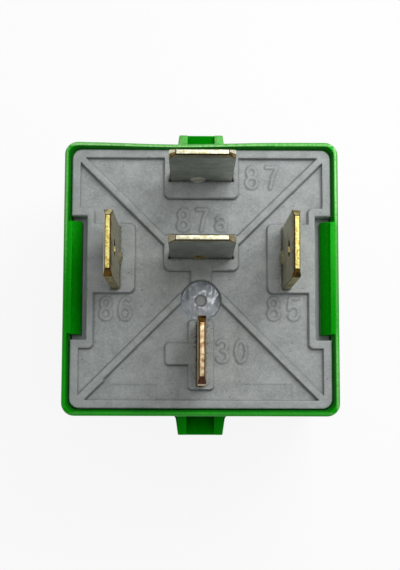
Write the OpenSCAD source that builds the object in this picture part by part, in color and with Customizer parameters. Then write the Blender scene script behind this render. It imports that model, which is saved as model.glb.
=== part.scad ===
// Five-blade automotive changeover relay, standing on its closed end with the blades up.
// The origin is the middle of the cover's closed end, +Z runs along the blades and
// +Y points to the side of blade 87. All sizes are in millimetres.

/* [Cover] */
// Width of the cover along X
cover_x = 28; // [27.6:0.1:32]
// Height of the cover from its closed end to its rim
cover_h = 25.5; // [23:0.1:30]
// Radius of the cover's upright outer corners
cover_corner_r = 1.3; // [1:0.1:2]
// Thickness of the wall around the base
rim_wall = 0.65; // [0.5:0.05:0.7]
// Thickness of the wall below the base
side_wall = 1.1; // [0.95:0.05:1.3]
// Thickness of the closed end
end_wall = 1; // [0.8:0.05:1.3]
// Radius of the edge around the closed end
end_edge_r = 0.8; // [0.4:0.1:1]
// Width of the chamfer inside the rim
rim_chamfer = 0.15; // [0.05:0.05:0.2]

/* [Snap hooks] */
// Length of each hook along Y
hook_len = 11.6; // [6:0.1:13]
// How far each hook reaches in from the wall
hook_reach = 1.15; // [0.8:0.05:1.5]
// Height of each hook's flat tip
hook_tip_h = 1.4; // [1:0.05:1.6]
// Width of the rim's flat step above each hook
hook_step = 0.25; // [0.1:0.05:0.4]
// Gap between a hook's tip and the back of its notch
hook_gap = 0.55; // [0.2:0.05:0.7]
// Gap between a hook's end and the notch's end
hook_end_gap = 0.55; // [0.2:0.05:0.8]

/* [Bracket lugs] */
// Width of each lug where it leaves the wall
lug_root_w = 5; // [4.8:0.1:7]
// Width of each lug at its outer face
lug_tip_w = 4.6; // [4:0.1:4.8]
// How far each lug stands out from the wall
lug_out = 2; // [1.5:0.1:3]
// Height of each lug
lug_h = 9; // [5:0.5:14]
// Distance from the rim down to the top of each lug
lug_drop = 5.3; // [3:0.1:7]
// Width of the slot down the middle of each lug
lug_slot_w = 2.8; // [2:0.1:3.2]
// Depth of the slot's floor next to the wall
lug_slot_deep = 1.6; // [1:0.1:3]
// Depth of the slot's floor at the outer face
lug_slot_shallow = 0.15; // [0.1:0.05:0.9]

/* [Base] */
// Gap between the base and the cover's wall
base_gap = 0.1; // [0.05:0.01:0.2]
// Thickness of the base from its seat to its floor
base_t = 3; // [2.8:0.1:4]
// Radius of the base's corners
base_corner_r = 1; // [0.5:0.1:1.5]
// How far the rim stands above the ribs
rim_proud = 0.5; // [0.2:0.1:0.9]
// Height of the ribs and pads above the floor
rib_h = 0.5; // [0.3:0.05:0.6]
// Width of the rib around the edge
edge_rib_w = 0.85; // [0.6:0.05:1]
// Width of the diagonal ribs
diagonal_rib_w = 0.75; // [0.5:0.05:1]
// Angle around the dimple's rim where the lower diagonal ribs end
diagonal_rim_deg = 12; // [0:1:20]
// Thickness of the ledge under each hook
ledge_t = 1.5; // [1.2:0.1:1.8]
// Diameter of the round dimple in the middle
dimple_d = 4; // [3:0.1:4.2]
// Depth of the dimple below the floor
dimple_deep = 0.4; // [0.2:0.05:0.6]
// Diameter of the moulding mark in the dimple
gate_d = 1.1; // [0.6:0.1:1.6]
// Height of the moulding mark
gate_h = 0.15; // [0.05:0.05:0.2]

/* [Pads] */
// Margin from a cross blade's end to its pad's side
pad_side = 0.65; // [0.4:0.05:0.9]
// Distance from blade 87 to the near edge of its pad
pad_87_near = 2.2; // [1.5:0.05:3]
// Distance from blade 87a to the near edge of its pad
pad_87a_near = 1.65; // [1.2:0.05:1.9]
// Distance from blade 87a to the far edge of its pad
pad_87a_far = 2.1; // [1:0.05:2.2]
// Distance from a coil blade to the inner edge of its pad
pad_coil_in = 1.95; // [1.5:0.05:2.2]
// Margin from a coil blade's end to its pad's end
pad_coil_end = 0.4; // [0.2:0.05:0.6]
// Margin around blade 30 in its pad
pad_30_side = 0.87; // [0.5:0.05:1.1]
// Margin from the ends of blade 30 to its pad's ends
pad_30_end = 0.35; // [0.2:0.05:0.45]
// Length of the tab on the pad of blade 30
pad_tab_out = 2.35; // [1.5:0.05:3]
// Width of the tab on the pad of blade 30
pad_tab_w = 2.2; // [1.5:0.1:3]
// Radius of the pads' corners
pad_r = 0.6; // [0.3:0.05:0.8]
// Shift of the tab along Y from the middle of blade 30
pad_tab_shift = 0.1; // [-0.3:0.05:0.3]
// Width of the neck between pad 87a and the dimple
neck_w = 2.1; // [1.5:0.1:3]

/* [Blades] */
// Width of every blade
blade_w = 6.3; // [6.2:0.05:6.4]
// Thickness of every blade
blade_t = 0.8; // [0.7:0.05:0.9]
// Length of every blade above the pads
blade_out = 11.4; // [9:0.1:13]
// Thickness of a blade's end face
blade_tip_t = 0.46; // [0.3:0.02:0.6]
// Length of the bevel towards the end face
blade_bevel = 0.8; // [0.5:0.05:1.2]
// Width cut off a blade's corners
blade_cut_w = 0.67; // [0.3:0.01:1]
// Length cut off a blade's corners
blade_cut_h = 1; // [0.5:0.05:1.5]
// Distance from the middle of the base to blade 87
row_y = 10.4; // [10.2:0.1:10.7]
// Distance from blade 87 to blade 87a
pitch_87a = 8; // [7.8:0.1:8.2]
// Distance from blade 87 to the middle of the coil blades
pitch_coil = 8.4; // [8:0.1:8.8]
// Distance from blade 87 to the middle of blade 30
pitch_30 = 18.25; // [18:0.05:18.4]
// Distance between the two coil blades
coil_pitch = 17.4; // [17.2:0.1:17.6]
// Diameter of the detent hole in the coil blades
detent_d = 1.7; // [1.2:0.1:2.2]
// Distance from a blade's end to its detent hole
detent_drop = 4; // [3:0.1:5]
// Diameter of the bump at a blade's root
bump_d = 1.65; // [1:0.05:2]
// How far the bump stands out
bump_h = 0.4; // [0.2:0.05:0.5]
// Height of the bump's middle above the pads
bump_z = 0.35; // [0.1:0.05:1]
// Sideways shift of the bump on the cross blades
bump_shift = 0.38; // [0:0.01:0.6]

/* [Straps] */
// Width of the straps below blades 87 and 87a
strap_w = 2.8; // [2.4:0.05:3]
// Plastic left between blade 87 and the strap of 87a
strap_cover = 0.9; // [0.6:0.1:1]
// Gap between a contact arm and the other blade's strap
arm_gap = 0.3; // [0.2:0.05:0.5]
// Width of the coil blades' tails
tail_w = 2; // [1.6:0.1:2.4]
// Length of the coil blades' tails below the base
tail_len = 5; // [4.8:0.1:6]
// Length of the foot of blade 30
foot_len = 4; // [3.6:0.1:4.5]
// Width of the foot of blade 30
foot_w = 3.9; // [3.4:0.1:4.4]

/* [Magnet] */
// Distance from the middle of the base to the core's axis
core_y = 2.3; // [2.2:0.05:2.4]
// Diameter of the core
core_d = 6; // [5:0.1:6.4]
// Diameter of the core's spigot in the yoke
spigot_d = 4; // [3:0.1:4.4]
// Diameter of the core's riveted head
head_d = 4.6; // [4.2:0.1:4.7]
// Height of the core's riveted head
head_h = 0.45; // [0.3:0.05:0.6]
// Diameter of the pole shoe
pole_d = 10; // [8:0.1:11]
// Thickness of the pole shoe
pole_t = 1; // [0.8:0.05:1.2]
// Thickness of the yoke
yoke_t = 1.6; // [1.4:0.05:1.7]
// Width of the yoke
yoke_w = 13; // [12:0.1:14]
// Distance from the yoke's back to the end of its short leg
yoke_reach = 12.8; // [12:0.1:13]
// Radius of the yoke's outer bend
yoke_bend_r = 1.4; // [0.5:0.1:1.4]

/* [Coil] */
// Diameter of the winding
winding_d = 13.2; // [11:0.1:13.6]
// Outer diameter of the bobbin's tube
tube_d = 8; // [7.6:0.1:8.4]
// Width of the bobbin's flanges along X
flange_x = 14.6; // [14:0.1:15]
// Width of the bobbin's flanges along Y
flange_y = 14.8; // [14.2:0.1:15]
// Thickness of the flange at the yoke
flange_top_t = 1; // [0.8:0.05:1.1]
// Thickness of the flange at the pole shoe
flange_low_t = 0.8; // [0.7:0.05:0.9]
// Radius of the flanges' corners
flange_r = 1.5; // [0.5:0.1:2.5]
// Diameter of the coil's lead wires
lead_d = 0.4; // [0.3:0.05:0.5]
// Number of turns of each lead around its tail
lead_turns = 3; // [2:1:4]
// Height of the solder below each lead
solder_h = 1.2; // [0.8:0.1:1.4]

/* [Armature] */
// Thickness of the armature
armature_t = 1.6; // [1.4:0.05:1.7]
// Width of the armature
armature_w = 12.6; // [11:0.1:14]
// Length of the armature
armature_len = 15.8; // [14:0.1:16.6]
// Angle that the armature turns through
open_deg = 2.2; // [1.5:0.1:2.4]
// Distance from the yoke's back to the hinge line
hinge_in = 0.4; // [0.35:0.05:0.5]
// Thickness of the contact spring
spring_t = 0.3; // [0.2:0.02:0.32]
// Width of the contact spring along the armature
spring_w = 5.6; // [5:0.1:8]
// Width of the contact spring at its contact
spring_tip_w = 3.4; // [3:0.1:4]
// Radius of the contact spring's bend
spring_bend_r = 0.6; // [0.55:0.01:0.65]
// Height of the contact spring's leg on the yoke
spring_leg = 9; // [7:0.1:12]

/* [Contacts] */
// Distance from the middle of the base to the contacts' axis
contact_y = 8.2; // [8:0.05:8.3]
// Diameter of the fixed contacts
fixed_d = 3; // [2.6:0.1:3]
// Height of the fixed contacts' heads
fixed_h = 0.5; // [0.3:0.05:0.55]
// Diameter of the moving contact
moving_d = 2.6; // [2:0.1:2.8]
// Height of each head of the moving contact
moving_h = 0.6; // [0.4:0.05:0.65]

/* [Rivets] */
// Diameter of every rivet's shank
rivet_d = 1.6; // [1.2:0.1:1.8]
// Diameter of every rivet's head
rivet_head_d = 2.6; // [2.2:0.1:3]
// Height of every rivet's head
rivet_head_h = 0.4; // [0.3:0.05:0.45]
// Distance between paired rivets
rivet_pitch = 3.2; // [3.1:0.1:3.4]

/* [Clearances] */
// Gap around every rivet's shank
rivet_gap = 0.02; // [0.01:0.01:0.05]
// Gap between the core and the bobbin
core_gap = 0.05; // [0.02:0.01:0.1]
// Gap between the bobbin's flange and the yoke
coil_gap = 0.3; // [0.1:0.05:0.6]
// Gap between the yoke's back and the cover's wall
back_gap = 1.3; // [1:0.05:2]
// Gap left where a moving piece meets its stop
stop_gap = 0.03; // [0.02:0.01:0.05]
// Gap between the lowest contact and the cover's closed end
end_gap = 0.55; // [0.3:0.05:1]
// Gap around a head that sits in the base
recess_gap = 0.25; // [0.1:0.05:0.3]

/* [Hidden] */
$fn = 48;

// Solids that are cut go this far past the faces that they cut.
over = 1;

// Levels, from the rim down to the base's seat on the cover's step.
pad_z = cover_h - rim_proud;
floor_z = pad_z - rib_h;
seat_z = floor_z - base_t;
ledge_z = seat_z + ledge_t;

// The magnet in plan, from the core's axis out to the yoke's back and the cover's wall.
yoke_back = core_y + flange_y / 2 + coil_gap + yoke_t;
cover_y = 2 * (yoke_back + back_gap + side_wall);

// The cover's opening and the base that fills it.
open_x = cover_x - 2 * rim_wall;
open_y = cover_y - 2 * rim_wall;
base_x = open_x - 2 * base_gap;
base_y = open_y - 2 * base_gap;
hook_tip_x = open_x / 2 - hook_reach;
notch_x = hook_tip_x - hook_gap;
notch_len = hook_len + 2 * hook_end_gap;

// Places of the blades.
blade_87_y = row_y;
blade_87a_y = row_y - pitch_87a;
blade_coil_y = row_y - pitch_coil;
blade_30_y = row_y - pitch_30;
blade_coil_x = coil_pitch / 2;

// Pads around the blades.
pad_x = blade_w / 2 + pad_side;
pad_87a_low = blade_87a_y - pad_87a_near;
dimple_y = -core_y;

// Straps under blades 87 and 87a, side by side in one plane.
strap_in = blade_w / 2 - strap_w;
strap_back = blade_87_y - blade_t / 2;
blade_87_end = seat_z + blade_t + strap_cover;

// Levels of the works, from the cover's closed end up to the armature drawn shut, its
// upper face just under the pole shoe. The winding fills the height left above it.
nc_arm_z = end_wall + end_gap + rivet_head_h;
nc_face_z = nc_arm_z + blade_t + fixed_h;
hinge_y = -yoke_back + hinge_in;
shut_z = nc_face_z + stop_gap + (contact_y + moving_d / 2 - hinge_y) * sin(open_deg)
    + (armature_t + spring_t + moving_h) * cos(open_deg);
spring_z = shut_z - armature_t - spring_t;
pole_z = shut_z + stop_gap;
winding_z = pole_z + pole_t + flange_low_t;
yoke_z = seat_z - yoke_t;
winding_len = yoke_z - flange_top_t - winding_z;

// The upper fixed contact, which stops the moving contact when the armature is shut.
no_face_z = shut_z - armature_t + moving_h + stop_gap;
no_arm_z = no_face_z + fixed_h;
contact_arm_y = contact_y - fixed_d / 2;

// Rivets.
rivet_spread = [-rivet_pitch / 2, rivet_pitch / 2];
spring_rivet_z = pole_z + spring_leg - rivet_head_d;
armature_rivet_y = -yoke_back + yoke_t + rivet_head_d / 2;
foot_rivet_x = blade_t / 2 + foot_len / 2;

// Tails and leads.
tail_z = seat_z - tail_len;
lead_z = yoke_z - flange_top_t - lead_d;
wrap_z = lead_z + lead_d / 2 - lead_turns * lead_d;

// A flat rectangle with round corners, centred.
module rounded(x, y, r) {
    square([x - 2 * r, y], center = true);
    square([x, y - 2 * r], center = true);
    for (sx = [-1, 1], sy = [-1, 1])
        translate([sx * (x / 2 - r), sy * (y / 2 - r)]) circle(r);
}

// A flat bar of width w from point a to point b.
module bar(a, b, w) {
    run = b - a;
    translate(a) rotate(atan2(run[1], run[0])) translate([0, -w / 2]) square([norm(run), w]);
}

// A flat rectangle between two corners, with round corners.
module pad(low, high, r) {
    size = high - low;
    translate((low + high) / 2) rounded(size[0], size[1], r);
}

// A profile drawn in Y and Z, carried along X by a width w about the middle.
module along_x(w) {
    rotate([90, 0, 90]) translate([0, 0, -w / 2]) linear_extrude(w) children();
}

// A profile drawn in X and Z, carried along Y by a length w about the middle.
module along_y(w) {
    rotate([90, 0, 0]) translate([0, 0, -w / 2]) linear_extrude(w) children();
}

// The outline of the cover's side, with round edges at the closed end.
module side_outline(w) {
    translate([-w / 2, end_edge_r]) square([w, cover_h - end_edge_r]);
    translate([-w / 2 + end_edge_r, 0]) square([w - 2 * end_edge_r, end_edge_r]);
    for (s = [-1, 1]) translate([s * (w / 2 - end_edge_r), end_edge_r]) circle(end_edge_r);
}

// The cover's outer form.
module cover_block() {
    intersection() {
        linear_extrude(cover_h) rounded(cover_x, cover_y, cover_corner_r);
        along_x(cover_x + over) side_outline(cover_y);
        along_y(cover_y + over) side_outline(cover_x);
    }
}

// The room inside the cover: the works below the step, the base above it.
module cover_room() {
    translate([0, 0, end_wall]) linear_extrude(cover_h)
        rounded(cover_x - 2 * side_wall, cover_y - 2 * side_wall, base_corner_r);
    translate([0, 0, seat_z]) linear_extrude(cover_h)
        rounded(open_x, open_y, base_corner_r);
    hull() {
        translate([0, 0, cover_h - rim_chamfer]) linear_extrude(0.01)
            rounded(open_x, open_y, base_corner_r, $fn = 32);
        translate([0, 0, cover_h]) linear_extrude(0.01)
            rounded(open_x + 2 * rim_chamfer, open_y + 2 * rim_chamfer, base_corner_r, $fn = 32);
    }
}

// One snap hook on the +X wall, over the base's ledge.
module hook() {
    low = ledge_z + stop_gap;
    wall = open_x / 2 + rim_wall / 2;
    step = open_x / 2 - hook_step;
    along_y(hook_len) polygon([
        [wall, low], [hook_tip_x, low], [hook_tip_x, low + hook_tip_h],
        [step, pad_z], [step, cover_h], [wall, cover_h]
    ]);
}

// One bracket lug on the +Y wall, with a sloping slot between two pillars.
module lug() {
    top = cover_h - lug_drop;
    wall = cover_y / 2;
    foot = wall - side_wall / 2;
    difference() {
        translate([0, 0, top - lug_h]) linear_extrude(lug_h) polygon([
            [-lug_root_w / 2, foot], [-lug_root_w / 2, wall], [-lug_tip_w / 2, wall + lug_out],
            [lug_tip_w / 2, wall + lug_out], [lug_root_w / 2, wall], [lug_root_w / 2, foot]
        ]);
        along_x(lug_slot_w) polygon([
            [wall, top - lug_slot_deep], [wall + lug_out + over, top - lug_slot_shallow],
            [wall + lug_out + over, top + over], [wall, top + over]
        ]);
    }
}

module cover() {
    color("#2e9a2c") {
        difference() {
            cover_block();
            cover_room();
        }
        hook();
        mirror([1, 0, 0]) hook();
        lug();
        mirror([0, 1, 0]) lug();
    }
}

// The base's outline less its two side notches, drawn in by a margin.
module base_outline(margin) {
    difference() {
        rounded(base_x - 2 * margin, base_y - 2 * margin, max(base_corner_r - margin, 0.1));
        for (s = [-1, 1])
            translate([s * (notch_x + base_x) / 2, 0])
                rounded(base_x - notch_x + 2 * margin, notch_len + 2 * margin, max(margin, 0.05) * 0.9);
    }
}

// The raised pads, in plan.
module pads() {
    coil_end = blade_w / 2 + pad_coil_end;
    pad([-pad_x, blade_87_y - pad_87_near], [pad_x, base_y / 2 - edge_rib_w / 2], pad_r);
    pad([-pad_x, pad_87a_low], [pad_x, blade_87a_y + pad_87a_far], pad_r);
    for (s = [-1, 1])
        pad([min(s * notch_x, s * (blade_coil_x - pad_coil_in)), blade_coil_y - coil_end],
            [max(s * notch_x, s * (blade_coil_x - pad_coil_in)), blade_coil_y + coil_end], pad_r);
    pad([-blade_t / 2 - pad_30_side, blade_30_y - blade_w / 2 - pad_30_end],
        [blade_t / 2 + pad_30_side, blade_30_y + blade_w / 2 + pad_30_end], pad_r / 2);
    pad([-blade_t / 2 - pad_30_side - pad_tab_out, blade_30_y + pad_tab_shift - pad_tab_w / 2],
        [0, blade_30_y + pad_tab_shift + pad_tab_w / 2], pad_r / 2);
    translate([-neck_w / 2, dimple_y]) square([neck_w, pad_87a_low - dimple_y + pad_r]);
}

// The ribs, in plan: one around the edge and four from the corners inwards.
module ribs() {
    difference() {
        base_outline(0);
        base_outline(edge_rib_w);
    }
    corner = [base_x / 2 - edge_rib_w, base_y / 2 - edge_rib_w];
    for (s = [-1, 1]) {
        bar([s * corner[0], corner[1]],
            [s * (pad_x - pad_r), blade_87a_y + pad_87a_far - 2 * pad_r], diagonal_rib_w);
        bar([s * corner[0], -corner[1]],
            [s * dimple_d / 2 * cos(diagonal_rim_deg), dimple_y + dimple_d / 2 * sin(diagonal_rim_deg)],
            diagonal_rib_w);
    }
}

// The room that a blade, its strap or its foot takes in the base.
module blade_slots() {
    through = base_t + rib_h + 2 * over;
    module slot(x, y, size_x, size_y, low)
        translate([x - size_x / 2, y - size_y / 2, low]) cube([size_x, size_y, through]);
    slot(0, blade_87_y, blade_w, blade_t, blade_87_end);
    slot(strap_in + strap_w / 2, blade_87_y, strap_w, blade_t, seat_z - over);
    slot(0, blade_87a_y, blade_w, blade_t, seat_z - over);
    for (s = [-1, 1]) slot(s * blade_coil_x, blade_coil_y, blade_t, blade_w, seat_z - over);
    slot(0, blade_30_y, blade_t, blade_w, seat_z - over);
    run = blade_87_y - blade_87a_y + blade_t;
    translate([-strap_in - strap_w, blade_87a_y - blade_t / 2, seat_z - over])
        cube([strap_w, run, blade_t + over]);
    translate([0, blade_30_y - foot_w / 2, seat_z - over])
        cube([blade_t / 2 + foot_len, foot_w, blade_t + over]);
}

// Round recesses for the core's head and the head on the foot of blade 30.
module head_recesses() {
    translate([0, -core_y, seat_z - over])
        cylinder(h = head_h + recess_gap + over, d = head_d + 2 * recess_gap);
    translate([foot_rivet_x, blade_30_y, seat_z])
        cylinder(h = blade_t + rivet_head_h + recess_gap, d = rivet_head_d + 2 * recess_gap);
}

// The concave dimple, cut as part of a ball that leaves dimple_d at the floor.
module dimple() {
    ball_r = (pow(dimple_d / 2, 2) + pow(dimple_deep, 2)) / (2 * dimple_deep);
    translate([0, dimple_y, 0]) intersection() {
        translate([0, 0, floor_z - dimple_deep + ball_r]) sphere(ball_r, $fn = 96);
        translate([0, 0, floor_z - over]) cylinder(h = 2 * over + rib_h, d = dimple_d);
    }
}

module base() {
    color("#8f9592") {
        difference() {
            union() {
                translate([0, 0, seat_z]) linear_extrude(ledge_t)
                    rounded(base_x, base_y, base_corner_r);
                translate([0, 0, ledge_z]) linear_extrude(floor_z - ledge_z) base_outline(0);
                translate([0, 0, floor_z]) linear_extrude(rib_h) {
                    ribs();
                    pads();
                }
            }
            blade_slots();
            head_recesses();
            dimple();
        }
        translate([0, dimple_y, floor_z - dimple_deep - over / 4])
            cylinder(h = gate_h + over / 4, d = gate_d);
    }
}

// A blade in its own frame: width along X, thickness along Y, z = 0 at the pads.
module blade(below, bump_x) {
    tip = blade_out;
    half = blade_w / 2;
    intersection() {
        along_y(blade_t) polygon([
            [-half, -below], [half, -below], [half, tip - blade_cut_h], [half - blade_cut_w, tip],
            [blade_cut_w - half, tip], [-half, tip - blade_cut_h]
        ]);
        along_x(blade_w + over) polygon([
            [-blade_t / 2, -below], [blade_t / 2, -below], [blade_t / 2, tip - blade_bevel],
            [blade_tip_t / 2, tip], [-blade_tip_t / 2, tip], [-blade_t / 2, tip - blade_bevel]
        ]);
    }
    if (is_num(bump_x)) bump(bump_x);
}

// The locking bump on a blade's front face, a slice off a ball.
module bump(x) {
    ball_r = (pow(bump_d / 2, 2) + pow(bump_h, 2)) / (2 * bump_h);
    intersection() {
        translate([x, ball_r - blade_t / 2 - bump_h, bump_z]) sphere(ball_r);
        translate([x - bump_d, -blade_t / 2 - bump_h, 0]) cube([2 * bump_d, bump_h + blade_t / 2, bump_z + bump_d]);
    }
}

// A coil blade with its detent hole, and its narrow tail below the base.
module coil_blade() {
    difference() {
        blade(pad_z - seat_z, 0);
        translate([0, 0, blade_out - detent_drop]) rotate([90, 0, 0])
            cylinder(h = blade_t + over, d = detent_d, center = true);
    }
    translate([-tail_w / 2, -blade_t / 2, tail_z - pad_z]) cube([tail_w, blade_t, tail_len + blade_t]);
}

module terminal_85() {
    color("#8f8f80") translate([blade_coil_x, blade_coil_y, pad_z]) rotate(-90) coil_blade();
}

module terminal_86() {
    color("#8f8f80") translate([-blade_coil_x, blade_coil_y, pad_z]) rotate(90) coil_blade();
}

// A flat contact arm with a rivet hole, drawn for the side where its strap is.
module contact_arm(side, low) {
    reach = fixed_d / 2 + arm_gap / 2;
    clear_y = strap_back - arm_gap;
    difference() {
        union() {
            translate([side > 0 ? strap_in : -strap_in - strap_w, contact_arm_y, low])
                cube([strap_w, strap_back + blade_t - contact_arm_y, blade_t]);
            translate([-reach, contact_arm_y, low]) cube([2 * reach, clear_y - contact_arm_y, blade_t]);
        }
        translate([0, contact_y, low - over]) cylinder(h = blade_t + 2 * over, d = rivet_d + 2 * rivet_gap);
    }
}

module terminal_87() {
    color("#8f8f80") {
        translate([0, blade_87_y, pad_z]) blade(pad_z - blade_87_end, -bump_shift);
        translate([strap_in, strap_back, no_arm_z]) cube([strap_w, blade_t, blade_87_end + blade_t - no_arm_z]);
        contact_arm(1, no_arm_z);
    }
}

module terminal_87a() {
    run = blade_87_y - blade_87a_y + blade_t;
    color("#8f8f80") {
        translate([0, blade_87a_y, pad_z]) blade(pad_z - seat_z, -bump_shift);
        translate([-strap_in - strap_w, blade_87a_y - blade_t / 2, seat_z]) cube([strap_w, run, blade_t]);
        translate([-strap_in - strap_w, strap_back, nc_arm_z])
            cube([strap_w, blade_t, seat_z + blade_t - nc_arm_z]);
        contact_arm(-1, nc_arm_z);
    }
}

module terminal_30() {
    color("#b07a4a") {
        translate([0, blade_30_y, pad_z]) rotate(90) blade(pad_z - seat_z, undef);
        difference() {
            translate([0, blade_30_y - foot_w / 2, seat_z]) cube([blade_t / 2 + foot_len, foot_w, blade_t]);
            translate([foot_rivet_x, blade_30_y, seat_z - over])
                cylinder(h = blade_t + 2 * over, d = rivet_d + 2 * rivet_gap);
        }
    }
}

// The yoke: an angle of soft iron, its short leg under the base.
module yoke() {
    color("#9a9ea0") difference() {
        along_x(yoke_w) {
            translate([-yoke_back, pole_z]) square([yoke_t, seat_z - yoke_bend_r - pole_z]);
            translate([-yoke_back + yoke_bend_r, yoke_z]) square([yoke_reach - yoke_bend_r, yoke_t]);
            intersection() {
                translate([-yoke_back + yoke_bend_r, seat_z - yoke_bend_r]) circle(yoke_bend_r);
                translate([-yoke_back, seat_z - yoke_bend_r]) square(yoke_bend_r);
            }
        }
        translate([0, -core_y, yoke_z - over]) cylinder(h = yoke_t + 2 * over, d = spigot_d);
        translate([foot_rivet_x, blade_30_y, yoke_z - over])
            cylinder(h = yoke_t + 2 * over, d = rivet_d + 2 * rivet_gap);
        for (x = rivet_spread) translate([x, -yoke_back - over, spring_rivet_z]) rotate([-90, 0, 0])
            cylinder(h = yoke_t + 2 * over, d = rivet_d + 2 * rivet_gap);
    }
}

module core() {
    color("#a9adb0") translate([0, -core_y, 0]) {
        translate([0, 0, pole_z]) cylinder(h = pole_t, d = pole_d);
        translate([0, 0, pole_z]) cylinder(h = yoke_z - pole_z, d = core_d);
        translate([0, 0, pole_z]) cylinder(h = seat_z - pole_z + head_h, d = spigot_d);
        translate([0, 0, seat_z]) cylinder(h = head_h, d1 = head_d, d2 = spigot_d);
    }
}

module bobbin() {
    color("#e8e4da") translate([0, -core_y, 0]) difference() {
        union() {
            translate([0, 0, pole_z + pole_t]) linear_extrude(flange_low_t)
                rounded(flange_x, flange_y, flange_r);
            translate([0, 0, pole_z + pole_t])
                cylinder(h = flange_low_t + winding_len + flange_top_t, d = tube_d);
            translate([0, 0, winding_z + winding_len]) linear_extrude(flange_top_t)
                rounded(flange_x, flange_y, flange_r);
        }
        translate([0, 0, pole_z]) cylinder(h = seat_z - pole_z, d = core_d + 2 * core_gap);
    }
}

module coil_winding() {
    color("#b5562a") translate([0, -core_y, winding_z]) difference() {
        cylinder(h = winding_len, d = winding_d);
        translate([0, 0, -over]) cylinder(h = winding_len + 2 * over, d = tube_d);
    }
}

// A coil lead: a straight run from the winding, wrapped around the blade's tail.
module coil_lead(side) {
    start = sqrt(pow(winding_d / 2, 2) - pow(blade_coil_y - lead_d / 2 + core_y, 2)) + rivet_gap;
    stop = blade_coil_x - blade_t / 2;
    wrap_x = blade_t + 2 * lead_d;
    wrap_y = tail_w + 2 * lead_d;
    color("#b5562a") scale([side, 1, 1]) {
        translate([start, blade_coil_y, lead_z]) rotate([0, 90, 0])
            cylinder(h = stop - lead_d / 2 - start, d = lead_d);
        difference() {
            translate([blade_coil_x, blade_coil_y, wrap_z]) linear_extrude(lead_turns * lead_d)
                rounded(wrap_x, wrap_y, lead_d);
            translate([blade_coil_x - blade_t / 2, blade_coil_y - tail_w / 2, wrap_z - over])
                cube([blade_t, tail_w, lead_turns * lead_d + 2 * over]);
        }
    }
}

module coil_lead_85() coil_lead(1);

module coil_lead_86() coil_lead(-1);

// The solder around a tail, just under its wrapped lead.
module solder(side) {
    solder_r = norm([blade_t, tail_w]) / 2 + lead_d / 2;
    color("#c9cccd") translate([side * blade_coil_x, blade_coil_y, wrap_z - solder_h]) difference() {
        union() {
            cylinder(h = solder_h / 2, r1 = solder_r - lead_d / 2, r2 = solder_r);
            translate([0, 0, solder_h / 2]) cylinder(h = solder_h / 2, r = solder_r);
        }
        translate([-blade_t / 2, -tail_w / 2, -over]) cube([blade_t, tail_w, solder_h + 2 * over]);
    }
}

module solder_85() solder(1);

module solder_86() solder(-1);

// Turns a piece that is drawn shut back to where it rests, away from the pole shoe.
module released() {
    translate([0, hinge_y, shut_z]) rotate([-open_deg, 0, 0]) translate([0, -hinge_y, -shut_z]) children();
}

module armature() {
    nose = armature_w / 8;
    front = hinge_y + armature_len;
    half = armature_w / 2;
    color("#9a9ea0") released() difference() {
        intersection() {
            translate([0, 0, shut_z - armature_t]) linear_extrude(armature_t) polygon([
                [-half, hinge_y], [half, hinge_y], [half, front - nose], [half - nose, front],
                [nose - half, front], [-half, front - nose]
            ]);
            along_x(armature_w) polygon([
                [hinge_y, shut_z], [hinge_y, shut_z - armature_t / 2],
                [hinge_y + armature_t / 2, shut_z - armature_t], [front, shut_z - armature_t], [front, shut_z]
            ]);
        }
        for (x = rivet_spread) translate([x, armature_rivet_y, spring_z - over])
            cylinder(h = armature_t + spring_t + 2 * over, d = rivet_d + 2 * rivet_gap);
    }
}

// The contact spring at rest: a leg on the yoke's back, a bend round the hinge and a
// blade under the armature that carries the moving contact.
module contact_spring() {
    mid = spring_t / 2;
    leg_y = -yoke_back - mid;
    drop = armature_t + mid;
    bend_y = leg_y + spring_bend_r;
    bend_z = (hinge_y * sin(open_deg) + shut_z * cos(open_deg) - drop + spring_bend_r
        - bend_y * sin(open_deg)) / cos(open_deg);
    blade_y0 = hinge_y + (bend_y - spring_bend_r * sin(open_deg) - hinge_y) * cos(open_deg)
        - (bend_z - spring_bend_r * cos(open_deg) - shut_z) * sin(open_deg);
    leg_top = pole_z + spring_leg;
    wide_end = hinge_y + armature_len;
    tip_end = contact_y + moving_d / 2;
    turn = [for (i = [0 : 12]) 180 + i * (90 - open_deg) / 12];
    bend = concat(
        [for (a = turn) [bend_y, bend_z] + (spring_bend_r + mid) * [cos(a), sin(a)]],
        [for (i = [12 : -1 : 0]) [bend_y, bend_z] + (spring_bend_r - mid) * [cos(turn[i]), sin(turn[i])]]
    );
    color("#c08a3e") difference() {
        union() {
            translate([-spring_w / 2, leg_y - mid, bend_z]) cube([spring_w, spring_t, leg_top - bend_z]);
            along_x(spring_w) polygon(bend);
            released() {
                translate([-spring_w / 2, blade_y0, spring_z]) cube([spring_w, wide_end - blade_y0, spring_t]);
                translate([-spring_tip_w / 2, blade_y0, spring_z])
                    cube([spring_tip_w, tip_end - blade_y0, spring_t]);
            }
        }
        for (x = rivet_spread) {
            translate([x, -yoke_back - over, spring_rivet_z]) rotate([-90, 0, 0])
                cylinder(h = yoke_t + over, d = rivet_d + 2 * rivet_gap);
            released() translate([x, armature_rivet_y, spring_z - over])
                cylinder(h = armature_t + spring_t + over, d = rivet_d + 2 * rivet_gap);
        }
        released() translate([0, contact_y, spring_z - over])
            cylinder(h = spring_t + 2 * over, d = rivet_d + 2 * rivet_gap);
    }
}

module moving_contact() {
    color("#cfd2d4") released() translate([0, contact_y, 0]) {
        translate([0, 0, spring_z - moving_h]) cylinder(h = moving_h, d = moving_d);
        translate([0, 0, spring_z - moving_h]) cylinder(h = spring_t + 2 * moving_h, d = rivet_d);
        translate([0, 0, spring_z + spring_t]) cylinder(h = moving_h, d = moving_d);
    }
}

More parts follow.
